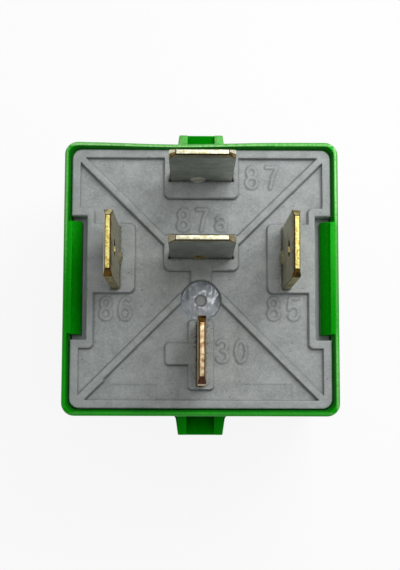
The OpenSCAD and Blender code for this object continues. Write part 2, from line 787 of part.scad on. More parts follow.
// A fixed contact: its head on one side of its arm, riveted over on the other.
module fixed_contact(head_z, shank_z, tail_z) {
    color("#cfd2d4") translate([0, contact_y, 0]) {
        translate([0, 0, head_z]) cylinder(h = fixed_h, d = fixed_d);
        translate([0, 0, shank_z]) cylinder(h = blade_t, d = rivet_d);
        translate([0, 0, tail_z]) cylinder(h = rivet_head_h, d = rivet_head_d);
    }
}

module no_contact() fixed_contact(no_face_z, no_arm_z, no_arm_z + blade_t);

module nc_contact() fixed_contact(nc_face_z - fixed_h, nc_arm_z, nc_arm_z - rivet_head_h);

// A rivet standing on its head: the head below z = 0 and a shank of length h above.
module rivet(h) {
    translate([0, 0, -rivet_head_h])
        cylinder(h = rivet_head_h, d1 = rivet_head_d - rivet_head_h, d2 = rivet_head_d);
    cylinder(h = h, d = rivet_d);
}

module yoke_rivets() {
    color("#b9bcbd") for (x = rivet_spread)
        translate([x, -yoke_back - spring_t, spring_rivet_z]) rotate([-90, 0, 0]) rivet(spring_t + yoke_t);
}

module armature_rivets() {
    color("#b9bcbd") released() for (x = rivet_spread)
        translate([x, armature_rivet_y, spring_z]) rivet(spring_t + armature_t);
}

module terminal_rivet() {
    color("#b9bcbd") translate([foot_rivet_x, blade_30_y, seat_z + blade_t]) mirror([0, 0, 1])
        rivet(blade_t + yoke_t);
}

cover();
base();
terminal_30();
terminal_85();
terminal_86();
terminal_87();
terminal_87a();
yoke();
core();
bobbin();
coil_winding();
coil_lead_85();
coil_lead_86();
solder_85();
solder_86();
armature();
contact_spring();
moving_contact();
no_contact();
nc_contact();
yoke_rivets();
armature_rivets();
terminal_rivet();
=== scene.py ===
"""A five-blade automotive changeover relay, standing on its closed end, blades up.

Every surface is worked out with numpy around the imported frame. Lengths are in
millimetres until build_mesh() turns them to metres. +Z runs along the blades and +Y
points to the side of blade 87.
"""
import math

import bmesh
import bpy
import numpy as np
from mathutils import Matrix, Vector


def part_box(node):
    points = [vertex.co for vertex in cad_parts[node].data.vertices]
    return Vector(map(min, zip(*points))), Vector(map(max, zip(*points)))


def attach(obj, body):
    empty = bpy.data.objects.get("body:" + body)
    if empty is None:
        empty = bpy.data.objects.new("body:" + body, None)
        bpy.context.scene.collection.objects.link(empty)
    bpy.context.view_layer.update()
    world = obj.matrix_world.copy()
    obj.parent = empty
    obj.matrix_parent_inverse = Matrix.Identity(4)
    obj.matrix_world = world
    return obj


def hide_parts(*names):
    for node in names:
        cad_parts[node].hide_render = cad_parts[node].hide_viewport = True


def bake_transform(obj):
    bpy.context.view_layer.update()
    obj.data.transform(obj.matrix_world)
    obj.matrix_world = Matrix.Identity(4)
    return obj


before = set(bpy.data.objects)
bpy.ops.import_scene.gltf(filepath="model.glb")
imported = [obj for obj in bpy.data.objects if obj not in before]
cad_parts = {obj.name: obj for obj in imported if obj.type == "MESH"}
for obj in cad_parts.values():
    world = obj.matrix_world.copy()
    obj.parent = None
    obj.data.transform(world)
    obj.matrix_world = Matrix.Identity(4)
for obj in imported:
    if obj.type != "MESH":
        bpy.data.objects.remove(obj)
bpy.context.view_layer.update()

MM = 0.001
BODY = "relay_body"


# ---------------------------------------------------------------- sizes

def node_box(name):
    """The lowest and highest corner of a CAD node, in millimetres."""
    low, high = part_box(name)
    return np.array(low) / MM, np.array(high) / MM


def middle_y(name):
    """The middle of a CAD node along Y."""
    low, high = node_box(name)
    return (low[1] + high[1]) / 2


COVER_HIGH = node_box("cover")[1]
BASE_LOW, BASE_HIGH = node_box("base")
LOW_87, HIGH_87 = node_box("terminal_87")
LOW_87A = node_box("terminal_87a")[0]
LOW_85, HIGH_85 = node_box("terminal_85")

HALF = COVER_HIGH[0]              # the cover is square
RIM_Z = COVER_HIGH[2]
SEAT_Z = BASE_LOW[2]
PAD_Z = BASE_HIGH[2]
BASE_HALF = BASE_HIGH[0]

RIB_H = 0.5                       # ribs and pads above the floor
FLOOR_Z = PAD_Z - RIB_H
LEDGE_Z = SEAT_Z + 1.5            # top of the base's ledge under each snap hook

COVER_R = 1.3                     # upright outer corners of the cover
END_R = 0.8                       # edge round the closed end
END_WALL = 1.0
RIM_WALL = 0.65
SIDE_WALL = 1.1
BASE_R = 1.0
RIM_R = 0.3                       # outer edge of the rim
LEAD_IN = 0.2                     # width of the steep lead-in inside the rim
WALL_BOW = 0.26                   # how far the +Y wall sinks in at the rim
BOW_DEEP = 9.0                    # how far down the wall the bow reaches

LUG_OUT = COVER_HIGH[1]           # bracket lugs
LUG_TOP = RIM_Z - 5.3
LUG_LOW = LUG_TOP - 9.0
LUG_GAP = 1.42                    # half the gap between a lug's two pillars

HOOK_HALF = 5.8                   # half the length of a snap hook
HOOK_TIP = 12.2                   # how near the middle a hook's tip comes
HOOK_STEP = 13.1                  # where its slope meets the rim's step
HOOK_TIP_H = 1.43                 # upper edge of a hook's tip above the ledge
HOOK_GAP = 0.03                   # between hook and ledge
HOOK_TOP = PAD_Z + 0.1
NOTCH_X = 11.65                   # the base's notches for the hooks
NOTCH_HALF = 6.35
EDGE_RIB = 0.85                   # widths of the ribs
DIAGONAL = 0.75

BLADE_W = 6.3
BLADE_T = 0.8
TIP_T = 0.46                      # thickness left at the bevelled end
TIP_BEVEL = 0.8
CUT_W = 0.67                      # cut corners of a blade's end
CUT_H = 1.0
DETENT_D = 1.7                    # hole in the coil blades, and how far below the end
DETENT_DROP = 4.0
BUMP_R = 0.825                    # locking bump at a blade's root
BUMP_OUT = 0.4
BUMP_OUT_87A = 0.18
BUMP_X_87 = -0.38                 # sideways places of the bumps on the two cross blades
BUMP_X_87A = -0.2
BUMP_Z = 0.75
BUMP_TALL = 1.2
TIP_Z = HIGH_87[2]
BLADE_87_Y = HIGH_87[1] - BLADE_T / 2
BLADE_87A_Y = LOW_87A[1] + BUMP_OUT + BLADE_T / 2
BLADE_30_Y = middle_y("terminal_30")
COIL_X = HIGH_85[0] - BLADE_T / 2
COIL_Y = middle_y("terminal_85")
TAIL_Z = LOW_85[2]
STRAP_IN = 0.35                   # straps of 87 and 87a, under the base
STRAP_OUT = BLADE_W / 2
STRAP_Y = BLADE_87_Y - BLADE_T / 2
STRAP_BACK = STRAP_Y + BLADE_T

DIMPLE_Y = middle_y("core")
DIMPLE_R = 2.0
DIMPLE_DEEP = 0.4
DOME_H = 0.3                      # the dimple's bottom rises to a low dome
GATE_R = 0.55                     # small round mark in its middle

WIRE_T = 0.21                     # the coil's wire, twice as thick as real, so it shows
LEAD_R = 0.2
SPRING_T = 0.3
SPRING_BEND_R = 0.6
SPRING_HALF = 2.8                 # half the width along the armature
SPRING_TIP_HALF = 1.7             # half the width at the contact
SPRING_EASE = 0.04                # cut corners of the strip
SPRING_SHUT_DEG = 2.2             # how far the armature turns to shut


# ---------------------------------------------------------------- curves

def smooth(value):
    """A step from 0 to 1 with level ends."""
    t = np.clip(value, 0, 1)
    return t * t * (3 - 2 * t)


def bell(value):
    """A bell curve: 1 at 0, exp(-value^2) away from it."""
    return np.exp(-value ** 2)


def unit(vectors):
    """Rows of vectors, each brought to length 1."""
    return vectors / np.linalg.norm(vectors, axis=1, keepdims=True)


def around(count):
    """Angles spaced evenly over a full turn, the last one short of the first."""
    return np.linspace(0, 2 * math.pi, count, endpoint=False)


def quarter_round(r, steps):
    """Pairs r * (1 - sin(a)) and r * (1 - cos(a)), with a from 0 to 90 degrees."""
    a = np.linspace(0, math.pi / 2, steps + 1)
    return list(zip(r - r * np.sin(a), r - r * np.cos(a)))


# ---------------------------------------------------------------- mesh helpers

def grid_faces(rows, cols, closed=True):
    """Quads between neighbouring rows of points, each row closed into a ring or open."""
    i, j = np.meshgrid(np.arange(rows - 1), np.arange(cols if closed else cols - 1),
                       indexing="ij")
    k = (j + 1) % cols
    corners = [i * cols + j, i * cols + k, (i + 1) * cols + k, (i + 1) * cols + j]
    return np.stack(corners, -1).reshape(-1, 4)


def loft(rows):
    """A closed shell through rings of points (ring, point, xyz), its two ends filled."""
    rows = np.asarray(rows, float)
    n, m = rows.shape[:2]
    faces = grid_faces(n, m).tolist()
    faces.append(list(range(m))[::-1])
    faces.append(list(range((n - 1) * m, n * m)))
    return rows.reshape(-1, 3), faces


def build_mesh(name, points, faces):
    """A mesh in metres from points in millimetres."""
    mesh = bpy.data.meshes.new(name)
    mesh.from_pydata((np.asarray(points) * MM).tolist(), [], faces)
    return mesh


def shell_mesh(name, shells):
    """One mesh from closed shells, its doubles merged and its faces outwards."""
    points, faces, start = [], [], 0
    for p, f in shells:
        points.append(p)
        faces += [[i + start for i in face] for face in f]
        start += len(p)
    mesh = build_mesh(name, np.concatenate(points), faces)
    shape = bmesh.new()
    shape.from_mesh(mesh)
    bmesh.ops.remove_doubles(shape, verts=shape.verts, dist=1e-7)
    bmesh.ops.recalc_face_normals(shape, faces=shape.faces)
    shape.to_mesh(mesh)
    shape.free()
    return mesh


def in_scene(name, data):
    """A new object in the scene, at the origin."""
    made = bpy.data.objects.new(name, data)
    bpy.context.scene.collection.objects.link(made)
    return made


def soften(mesh, degrees=35):
    """Shades a mesh smooth, and keeps edges sharper than the angle."""
    mesh.shade_smooth()
    mesh.set_sharp_from_angle(angle=math.radians(degrees))


def new_piece(mesh, materials, node, smooth_deg=35, body=BODY):
    """Makes a mesh a piece that stands for a CAD node.

    A piece given no body is attached to none.
    """
    for material in materials:
        mesh.materials.append(material)
    soften(mesh, smooth_deg)
    piece = in_scene(mesh.name, mesh)
    if body:
        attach(piece, body)
    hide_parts(node)
    return piece


def set_attribute(piece, name, rule):
    """Gives each vertex a value that a rule works out from its place (mm)."""
    mesh = piece.data
    place = np.empty(len(mesh.vertices) * 3)
    mesh.vertices.foreach_get("co", place)
    add_values(mesh, name, rule(place.reshape(-1, 3) / MM))


def add_values(mesh, name, values):
    """Keeps one number for each vertex under a name that materials read."""
    store = mesh.attributes.new(name, "FLOAT", "POINT").data
    store.foreach_set("value", values.astype(np.float32))


def faces_of(piece):
    """The middles (mm) and the normals of a piece's faces, each as rows x, y, z."""
    polygons = piece.data.polygons
    found = []
    for what, unit in (("center", MM), ("normal", 1)):
        values = np.empty(len(polygons) * 3)
        polygons.foreach_get(what, values)
        found.append(values.reshape(-1, 3).T / unit)
    return found


def paint(piece, coats):
    """Gives materials to the faces that their masks mark, one after the other."""
    polygons, slots = piece.data.polygons, list(piece.data.materials)
    index = np.empty(len(polygons), np.int32)
    polygons.foreach_get("material_index", index)
    for material, mask in coats:
        index[mask] = slots.index(material)
    polygons.foreach_set("material_index", index)


def round_loop(half_x, half_y, r, arc_steps=6, side_steps=1):
    """Points round a rectangle with round corners, each straight side cut into parts."""
    turn = np.linspace(0, math.pi / 2, arc_steps + 1)
    rounds = []
    for k, (sx, sy) in enumerate([(1, 1), (-1, 1), (-1, -1), (1, -1)]):
        a = turn + k * math.pi / 2
        rounds.append(np.column_stack([sx * (half_x - r) + r * np.cos(a),
                                       sy * (half_y - r) + r * np.sin(a)]))
    share = np.linspace(0, 1, side_steps + 1)[1:-1, None]
    parts = []
    for here, ahead in zip(rounds, rounds[1:] + rounds[:1]):
        parts += [here, here[-1] + (ahead[0] - here[-1]) * share]
    return np.concatenate(parts)


def at_height(loop, z):
    """A flat loop lifted to a height."""
    return np.column_stack([loop, np.full(len(loop), z)])


def eased_outline(corners, ease, grow, arc_steps=3):
    """A convex outline drawn in by ease, then grown back by a round of radius grow."""
    corners = np.asarray(corners, float)
    ahead = unit(np.roll(corners, -1, 0) - corners)
    out = np.stack([ahead[:, 1], -ahead[:, 0]], -1)
    before = np.roll(out, 1, 0)
    middle = (out + before) / (1 + np.sum(out * before, 1, keepdims=True))
    inner = corners - ease * middle
    start = np.arctan2(before[:, 1], before[:, 0])
    sweep = (np.arctan2(out[:, 1], out[:, 0]) - start) % (2 * math.pi)
    angle = start[:, None] + sweep[:, None] * np.linspace(0, 1, arc_steps + 1)
    round_off = grow * np.stack([np.cos(angle), np.sin(angle)], -1)
    return (inner[:, None] + round_off).reshape(-1, 2)


AXES = {"z": [0, 1, 2], "y": [0, 2, 1], "x": [2, 0, 1]}


def eased_prism(corners, low, high, ease=0.06, axis="z", steps=3):
    """A convex outline (anticlockwise) carried along an axis, all its edges rolled.

    It is the outline drawn in by ease, grown back by a ball of that radius: ring k of
    each end is grown by ease * sin(angle) and lies ease * (1 - cos(angle)) inside it.
    """
    near = [(ease - s, low + c) for s, c in quarter_round(ease, steps)]
    far = [(grow, high - (z - low)) for grow, z in near[::-1]]
    points, faces = loft([at_height(eased_outline(corners, ease, max(grow, ease * 0.02)), z)
                          for grow, z in near + far])
    return points[:, AXES[axis]], faces


def box(low, high, ease=0.06):
    """A block between two corners with rolled edges."""
    corners = [(low[0], low[1]), (high[0], low[1]), (high[0], high[1]), (low[0], high[1])]
    return eased_prism(corners, low[2], high[2], ease)


def overlapping(*corners):
    """Blocks that run into each other: each is drawn in a hair more than the one before,
    so that no two of their faces share a plane."""
    hair = 0.012
    return [box([v + k * hair for v in low], [v - k * hair for v in high])
            for k, (low, high) in enumerate(corners, 1)]


def tube(path, radius, sides):
    """A round section carried along a path that is mostly level.

    Ring k is the path's point k plus radius * (cos(t) * side + sin(t) * up), where side
    is level and square to the path, and up is square to both.
    """
    ahead = unit(np.gradient(path, axis=0))
    side = unit(np.cross(ahead, (0.0, 0.0, 1.0)))
    up = np.cross(side, ahead)
    t = around(sides)[:, None]
    return loft(path[:, None] + radius * (np.cos(t) * side[:, None] + np.sin(t) * up[:, None]))


def turned(profile, centre=(0, 0), sides=32):
    """A profile of (radius, height) points turned about an upright axis."""
    angle = around(sides)
    r, z = np.asarray(profile, float).T[..., None]
    return loft(np.stack([centre[0] + r * np.cos(angle), centre[1] + r * np.sin(angle),
                          z + 0 * angle], -1))


def mirrored(shell, axis):
    """A shell mirrored across the plane at 0 on an axis."""
    points, faces = shell
    flip = np.ones(3)
    flip[axis] = -1
    return points * flip, [f[::-1] for f in faces]


def placed(shell, x, y, quarter):
    """A shell turned about Z by quarter turns, then moved."""
    points, faces = shell
    c, s = [(1, 0), (0, 1), (-1, 0), (0, -1)][quarter]
    u, v, w = points.T
    return np.column_stack([c * u - s * v + x, s * u + c * v + y, w]), faces


# ---------------------------------------------------------------- materials

def linear(code):
    """An sRGB hex colour as a linear RGBA value."""
    c = np.array([int(code[i:i + 2], 16) for i in (1, 3, 5)]) / 255
    c = np.where(c <= 0.04045, c / 12.92, ((c + 0.055) / 1.055) ** 2.4)
    return (*c.tolist(), 1.0)


def add(tree, kind, inputs, out=0, **settings):
    """Adds a node with its settings and inputs (sockets, values or hex colours), and
    gives back one of its outputs."""
    made = tree.nodes.new("ShaderNode" + kind)
    for key, value in settings.items():
        setattr(made, key, value)
    for key, value in inputs.items():
        if isinstance(value, bpy.types.NodeSocket):
            tree.links.new(value, made.inputs[key])
        else:
            plain = linear(value) if isinstance(value, str) else value
            made.inputs[key].default_value = plain
    return made.outputs[out]


def start_material(name, constants):
    """A new material and its tree; what is the same all over is set on its shader."""
    made = bpy.data.materials.new(name)
    made.use_nodes = True
    shader = made.node_tree.nodes["Principled BSDF"]
    for key, value in constants.items():
        shader.inputs[key].default_value = value
    return made, made.node_tree


def blotches(tree, size_mm, detail=3.0, stretch=(1, 1, 1)):
    """A soft random pattern on Object coordinates, its blotches of a real size, drawn out
    along the axes by stretch."""
    place = add(tree, "TexCoord", {}, "Object")
    place = add(tree, "Mapping", {"Vector": place, "Scale": [1 / s for s in stretch]})
    scale = 1 / (size_mm * MM)
    return add(tree, "TexNoise", {"Vector": place, "Scale": scale, "Detail": detail}, "Fac")


def coat(tree, below, colour, cover, low, high, least=0.0, most=1.0, where=None):
    """Lays a colour over what is below it, as far as a pattern or an attribute covers it:
    least where that is at low, most where it is at high. Another attribute or pattern
    may hold it to a place."""
    if isinstance(cover, str):
        cover = add(tree, "Attribute", {}, "Fac", attribute_name=cover)
    if isinstance(where, str):
        where = add(tree, "Attribute", {}, "Fac", attribute_name=where)
    share = add(tree, "MapRange", {0: cover, 1: low, 2: high, 3: least, 4: most})
    if where is not None:
        share = add(tree, "Math", {0: where, 1: share}, operation="MULTIPLY")
    return add(tree, "Mix", {0: share, 6: below, 7: colour}, 2, data_type="RGBA")


def skin(made, tint, gloss, fine, dull, *reliefs):
    """Ends a material and gives it back: its colour, a roughness that goes from fine to
    dull with a pattern, and its relief, each a pattern and a depth in mm."""
    tree = made.node_tree
    ends = {"Base Color": tint}
    ends["Roughness"] = add(tree, "MapRange", {0: gloss, 1: 0.3, 2: 0.7, 3: fine, 4: dull})
    below = {}
    for pattern, depth in reliefs:
        ends["Normal"] = add(tree, "Bump", {"Height": pattern, "Distance": depth * MM,
                                            "Strength": 1.0, **below})
        below = {"Normal": ends["Normal"]}
    for key, socket in ends.items():
        tree.links.new(socket, tree.nodes["Principled BSDF"].inputs[key])
    return made


def moulded_nylon(name, light, dark, rough, sheen, marked=None, where="scuff_and_highlight"):
    """Polyamide 6, injection moulded. To the eye: a satin skin of one deep colour, uneven
    in gloss, paler where an attribute marks it: scuffs with a painted highlight on the
    cover's rim, and painted light up its hooks' slopes.

    The mould's grain is about 0.02 mm; it is drawn at 0.12 and 0.3 mm, so that it shows.
    """
    made, tree = start_material(name, {"IOR": 1.53, "Specular IOR Level": 0.4,
                                       "Specular Tint": linear(sheen)})
    grain, pits = blotches(tree, 0.12, 2.0), blotches(tree, 0.3, 4.0)
    tint = coat(tree, dark, light, blotches(tree, 3.0), 0.35, 0.65)
    # Paler where the attribute is high: scuffs with a painted highlight on the cover, and
    # painted light up its hooks' slopes.
    if marked:
        tint = coat(tree, tint, marked, pits, 0.2, 0.62, 0.25, 1.0, where)
    return skin(made, tint, grain, rough - 0.06, rough + 0.08, (grain, 0.01), (pits, 0.03))


def moulded_polyester():
    """Glass-filled PBT, injection moulded. To the eye: matt grey, clouded by the flow of
    the melt, speckled by its glass, with dark specks, with dirt and painted shade in its
    corners, and with painted bounce light on its deep ledge.

    Glass fibres are 0.01 mm thick; their speckle is drawn at 0.2 mm, so that it shows.
    """
    made, tree = start_material("glass_filled_pbt", {"IOR": 1.55})
    grain = blotches(tree, 0.2)
    tint = coat(tree, "#888d8c", "#a4a8a8", blotches(tree, 1.4, 4.0), 0.3, 0.7)
    tint = coat(tree, tint, "#7c8883", blotches(tree, 0.45), 0.3, 0.7, 0.0, 0.35)
    tint = coat(tree, tint, "#b8bbc0", grain, 0.45, 0.75, 0.0, 0.45)
    tint = coat(tree, tint, "#6d7572", blotches(tree, 0.13, 2.0), 0.55, 0.75, 0.0, 0.3)
    place = add(tree, "TexCoord", {}, "Object")
    specks = add(tree, "TexVoronoi", {"Vector": place, "Scale": 1 / (0.9 * MM)}, "Distance")
    some = add(tree, "MapRange", {0: blotches(tree, 2.0, 1.0), 1: 0.42, 2: 0.5})
    tint = coat(tree, tint, "#4e5553", specks, 0.11, 0.05, 0.0, 0.8, some)
    # Dark along edges and in corners: painted shade, with some dirt.
    tint = coat(tree, tint, "#353b39", "grime_and_shade", 0.0, 1.0)
    crumbs = blotches(tree, 0.28, 2.0)
    tint = coat(tree, tint, "#2b2c27", crumbs, 0.56, 0.62, 0.0, 0.85, "dirt")
    # Painted bounce light: the deep ledge and the walls down to it are lightened.
    tint = coat(tree, tint, "#dfe6e6", "pale", 0.0, 1.0, 0.0, 0.45)
    return skin(made, tint, grain, 0.5, 0.68, (grain, 0.02))


def glossy_skin():
    """PBT pressed against a polished pin. To the eye: a bluish, shining skin whose slow
    waves catch the light in streaks."""
    made, tree = start_material("polished_pbt", {"IOR": 1.6, "Specular IOR Level": 1.0})
    cloud, waves = blotches(tree, 0.9), blotches(tree, 0.85, 1.0, (1, 1.8, 1))
    tint = coat(tree, "#888f99", "#a6aeb4", cloud, 0.3, 0.7)
    return skin(made, tint, cloud, 0.1, 0.2, (waves, 0.5))


def plated_sheet(name, light, dark, under, stained=0.6):
    """Brass or copper, tinned, rolled and stamped. To the eye: dull grey metal with fine
    scratches, brown stains and dark freckles, worn to the bare metal at its edges.

    Rolling scratches are about 0.01 mm; they are drawn at 0.12 mm, so that they show.
    """
    made, tree = start_material(name, {"Metallic": 1.0})
    scratches = blotches(tree, 0.5, 3.0, (4, 4, 0.25))
    tint = coat(tree, dark, light, blotches(tree, 1.2, 4.0), 0.3, 0.7)
    tint = coat(tree, tint, "#5a5136", blotches(tree, 0.22, 4.0), 0.35, 0.7,
                0.0, stained * 0.7)
    stains, first = blotches(tree, 0.5, 5.0, (1.6, 1.6, 0.7)), 0.66 - 0.1 * stained
    tint = coat(tree, tint, "#2c2a20", stains, first, first + 0.08, 0.0, 0.6)
    tint = coat(tree, tint, "#2c2c28", blotches(tree, 0.16, 2.0), 0.67, 0.74, 0.0, 0.4)
    worn = add(tree, "Attribute", {}, "Fac", attribute_name="worn")
    ragged = add(tree, "Math", {0: worn, 1: blotches(tree, 0.3)}, operation="ADD")
    tint = coat(tree, tint, under, ragged, 0.85, 1.2)
    return skin(made, tint, scratches, 0.32, 0.5, (scratches, 0.01))


def sheared_edge(name, light, dark, rough, patch_mm=0.6):
    """Metal where the die sheared or rolled the sheet. To the eye: bare and bright or
    tarnished in patches, nicked, with fine marks across the edge.

    Shear marks are about 0.02 mm apart; they are drawn at 0.3 mm, so that they show.
    """
    made, tree = start_material(name, {"Metallic": 1.0})
    marks = blotches(tree, 0.3, 3.0, (1, 1, 6))
    tint = coat(tree, light, dark, blotches(tree, patch_mm, 4.0), 0.4, 0.64)
    tint = coat(tree, tint, dark, blotches(tree, 0.2, 4.0), 0.56, 0.68, 0.0, 0.8)
    return skin(made, tint, marks, rough - 0.08, rough + 0.1, (marks, 0.012))


def plain_metal(name, light, dark, rough, grain_mm=0.4, stretch=(1, 1, 1)):
    """A plated, rolled or drawn metal of the works. To the eye: an even metal, slightly
    cloudy, with a fine grain that spreads its highlights.

    The real grain is under 0.05 mm; it is drawn at 0.2 to 0.4 mm, so that it shows.
    """
    made, tree = start_material(name, {"Metallic": 1.0})
    grain = blotches(tree, grain_mm, 3.0, stretch)
    tint = coat(tree, dark, light, blotches(tree, 2.0), 0.3, 0.7)
    return skin(made, tint, grain, rough - 0.06, rough + 0.1, (grain, 0.008))


# The cover: vivid green, scuffed pale on its edges, where a highlight is painted too; a
# darker copy is painted shade in the rim's lead-in and on the hooks, lightened up their
# slopes as painted light.
GREEN = moulded_nylon("green_polyamide", "#049204", "#038a03", 0.26, "#60ff60", "#b4e6a0")
GREEN_SHADED = moulded_nylon("green_polyamide_shaded", "#026a02", "#025e02", 0.42, "#30ff30",
                            "#048a04", "slope")
# The base: dull grey, and the shining bottom of its dimple.
GREY = moulded_polyester()
SHINE = glossy_skin()
# The faces of the brass blades: grey tin, dullest on 87a, browned on the coil blades.
PLATED = plated_sheet("tin_plated_brass", "#c0c5bc", "#a2a8a0", "#b29c6a", 0.35)
PLATED_87A = plated_sheet("dull_tin_plated_brass", "#a6aaa4", "#898e88", "#8a8064", 0.35)
STAINED = plated_sheet("stained_tin_plated_brass", "#dcd5b4", "#b0a682", "#7a5c22", 0.8)
# Their ends and corners: yellow brass, or white where the tin was drawn over the edge.
BRASS = sheared_edge("sheared_brass", "#ece69e", "#c2a84c", 0.6, 0.25)
TINNED = sheared_edge("tinned_brass_edge", "#e6e8d4", "#c8bf92", 0.5, 0.4)
CUT = sheared_edge("cut_brass_corner", "#b8af7c", "#6e5a24", 0.45)
CUT_87 = sheared_edge("golden_brass_corner", "#a4844a", "#503a14", 0.4)
CUT_87A = sheared_edge("pale_brass_corner", "#e4dec6", "#bcb08a", 0.45)
# Paler metal on the locking bumps: a painted highlight on their domes.
BUMP_HIGHLIGHT = sheared_edge("highlit_bump_plate", "#d8d9d2", "#a09d8c", 0.5)
# Painted shade on the cut corners that face -Y, away from the light, and on the dark
# rolled line between face and end.
SHADED_CORNER = sheared_edge("shaded_brass_corner", "#5c440f", "#2c1d08", 0.4)
ROLLED = sheared_edge("rolled_brass_edge", "#4a3a16", "#1c140a", 0.45)
# Blade 30, the same in copper: warm brown with pink and gold at its end.
PLATED_30 = plated_sheet("tin_plated_copper", "#ccb890", "#a48c64", "#7a5020")
COPPER_EDGE = sheared_edge("sheared_copper", "#f2e0bc", "#a8763c", 0.42)
CUT_30 = sheared_edge("cut_copper_corner", "#a27840", "#5a3614", 0.4)
SHADED_CORNER_30 = sheared_edge("shaded_copper_corner", "#4a2410", "#1e0c06", 0.4)
ROLLED_30 = sheared_edge("rolled_copper_edge", "#6a4416", "#2a1808", 0.45)
# The works: grey zinc, milky nylon, red-brown lacquer, white solder, yellow bronze.
IRON = plain_metal("zinc_plated_iron", "#c3c7c9", "#a7abad", 0.34)
BOBBIN = moulded_nylon("natural_polyamide", "#ece8dc", "#e0dbcc", 0.45, "#ffffff")
WIRE = plain_metal("enamelled_copper", "#c4622f", "#a44a20", 0.24, 0.2)
TIN_LEAD = plain_metal("bright_solder", "#d4d6d8", "#b9bcbe", 0.22)
BRONZE = plain_metal("rolled_bronze", "#cfa055", "#b9883f", 0.28, 0.3, (1, 8, 1))
SILVER = plain_metal("silver_alloy", "#dfe0e0", "#c6c8c8", 0.25)
RIVET = plain_metal("plated_steel", "#c9cbcc", "#b2b4b5", 0.3)


# ---------------------------------------------------------------- cover

def wall_sink(x):
    """How far the +Y wall is drawn in at the rim: WALL_BOW * exp(-((x + 2.5) / 6.5)^2)."""
    return WALL_BOW * bell((x + 2.5) / 6.5)


def bowed(points):
    """Draws the +Y wall in, from nothing BOW_DEEP below the rim to wall_sink(x) at it."""
    x, y, z = points.T
    high = np.clip((z - RIM_Z + BOW_DEEP) / BOW_DEEP, 0, 1)
    lean = np.clip((y - HALF + COVER_R) / COVER_R, 0, 1)
    return np.column_stack([x, y - wall_sink(x) * high * lean, z])


def cover_shell():
    """The moulded box: rings run up the outside, over the rim and down the inside.

    Each row is an inset from the cover's half width, a height and a corner radius. mark
    is the shallow round mark of the mould in the closed end.
    """
    mark = [(HALF - 0.05, 0.35, 0.05), (HALF - 0.8, 0.3, 0.75), (HALF - 0.95, 0.0, 0.9),
            (HALF - 1.0, 0.0, 0.95), (HALF * 0.5, 0.0, 0.5)]
    foot = [(s, c, COVER_R) for s, c in quarter_round(END_R, 5)]
    wall = [(0.0, z, COVER_R) for z in np.linspace(END_R, RIM_Z - RIM_R, 8)[1:]]
    edge = [(c, RIM_Z - s, COVER_R) for s, c in quarter_round(RIM_R, 5)[1:]]
    flat_end = RIM_WALL - LEAD_IN
    lead_in = [(flat_end - 0.04, RIM_Z, COVER_R - 0.25),
               (flat_end, RIM_Z - 0.04, COVER_R - 0.28),
               (RIM_WALL - 0.04, RIM_Z - 0.55, BASE_R), (RIM_WALL, RIM_Z - 0.65, BASE_R)]
    inside = [(RIM_WALL, SEAT_Z), (SIDE_WALL, SEAT_Z), (SIDE_WALL, END_WALL + 0.4),
              (SIDE_WALL + 0.12, END_WALL + 0.12), (SIDE_WALL + 0.4, END_WALL)]
    inside = [(*row, BASE_R) for row in inside] + [(HALF * 0.98, END_WALL, 0.2)]
    rings = []
    for inset, z, r in mark + foot + wall + edge + lead_in + inside:
        half = HALF - inset
        rings.append(at_height(round_loop(half, half, min(r, half * 0.9), 8, 10), z))
    points, faces = loft(rings)
    return bowed(points), faces


def snap_hook():
    """The +X hook: a wedge over the base's ledge, falling away from the rim."""
    wall, low = HALF - RIM_WALL / 2, LEDGE_Z + HOOK_GAP
    corners = [(HOOK_TIP, low), (wall, low), (wall, HOOK_TOP), (HOOK_STEP, HOOK_TOP),
               (HOOK_TIP, LEDGE_Z + HOOK_TIP_H)]
    return eased_prism(corners, -HOOK_HALF, HOOK_HALF, 0.08, "y")


def hook_step():
    """The flat step that widens the rim above a hook."""
    wall, low, top, half = HALF - 0.36, PAD_Z - 0.1, RIM_Z - 0.004, HOOK_HALF - 0.06
    corners = [(HOOK_STEP, low), (wall, low), (wall, top), (HOOK_STEP, top)]
    return eased_prism(corners, -half, half, 0.05, "y")


def bracket_lug():
    """The +Y lug: two pillars and a sloping web between them, with a fillet at the root."""
    foot = HALF - 0.7
    web = [(foot, LUG_LOW), (LUG_OUT, LUG_LOW), (LUG_OUT, LUG_TOP - 0.15),
           (HALF, LUG_TOP - 1.6), (foot, LUG_TOP - 1.6)]
    shells = [eased_prism(web, -1.6, 1.6, 0.1, "x")]
    for s in (1, -1):
        pillar = [(s * LUG_GAP, foot), (s * 2.85, foot), (s * 2.8, HALF - 0.02),
                  (s * 2.58, HALF + 0.25), (s * 2.5, HALF + 0.8), (s * 2.33, LUG_OUT),
                  (s * LUG_GAP, LUG_OUT)]
        shells.append(eased_prism(pillar[::s], LUG_LOW, LUG_TOP, 0.12))
    return shells


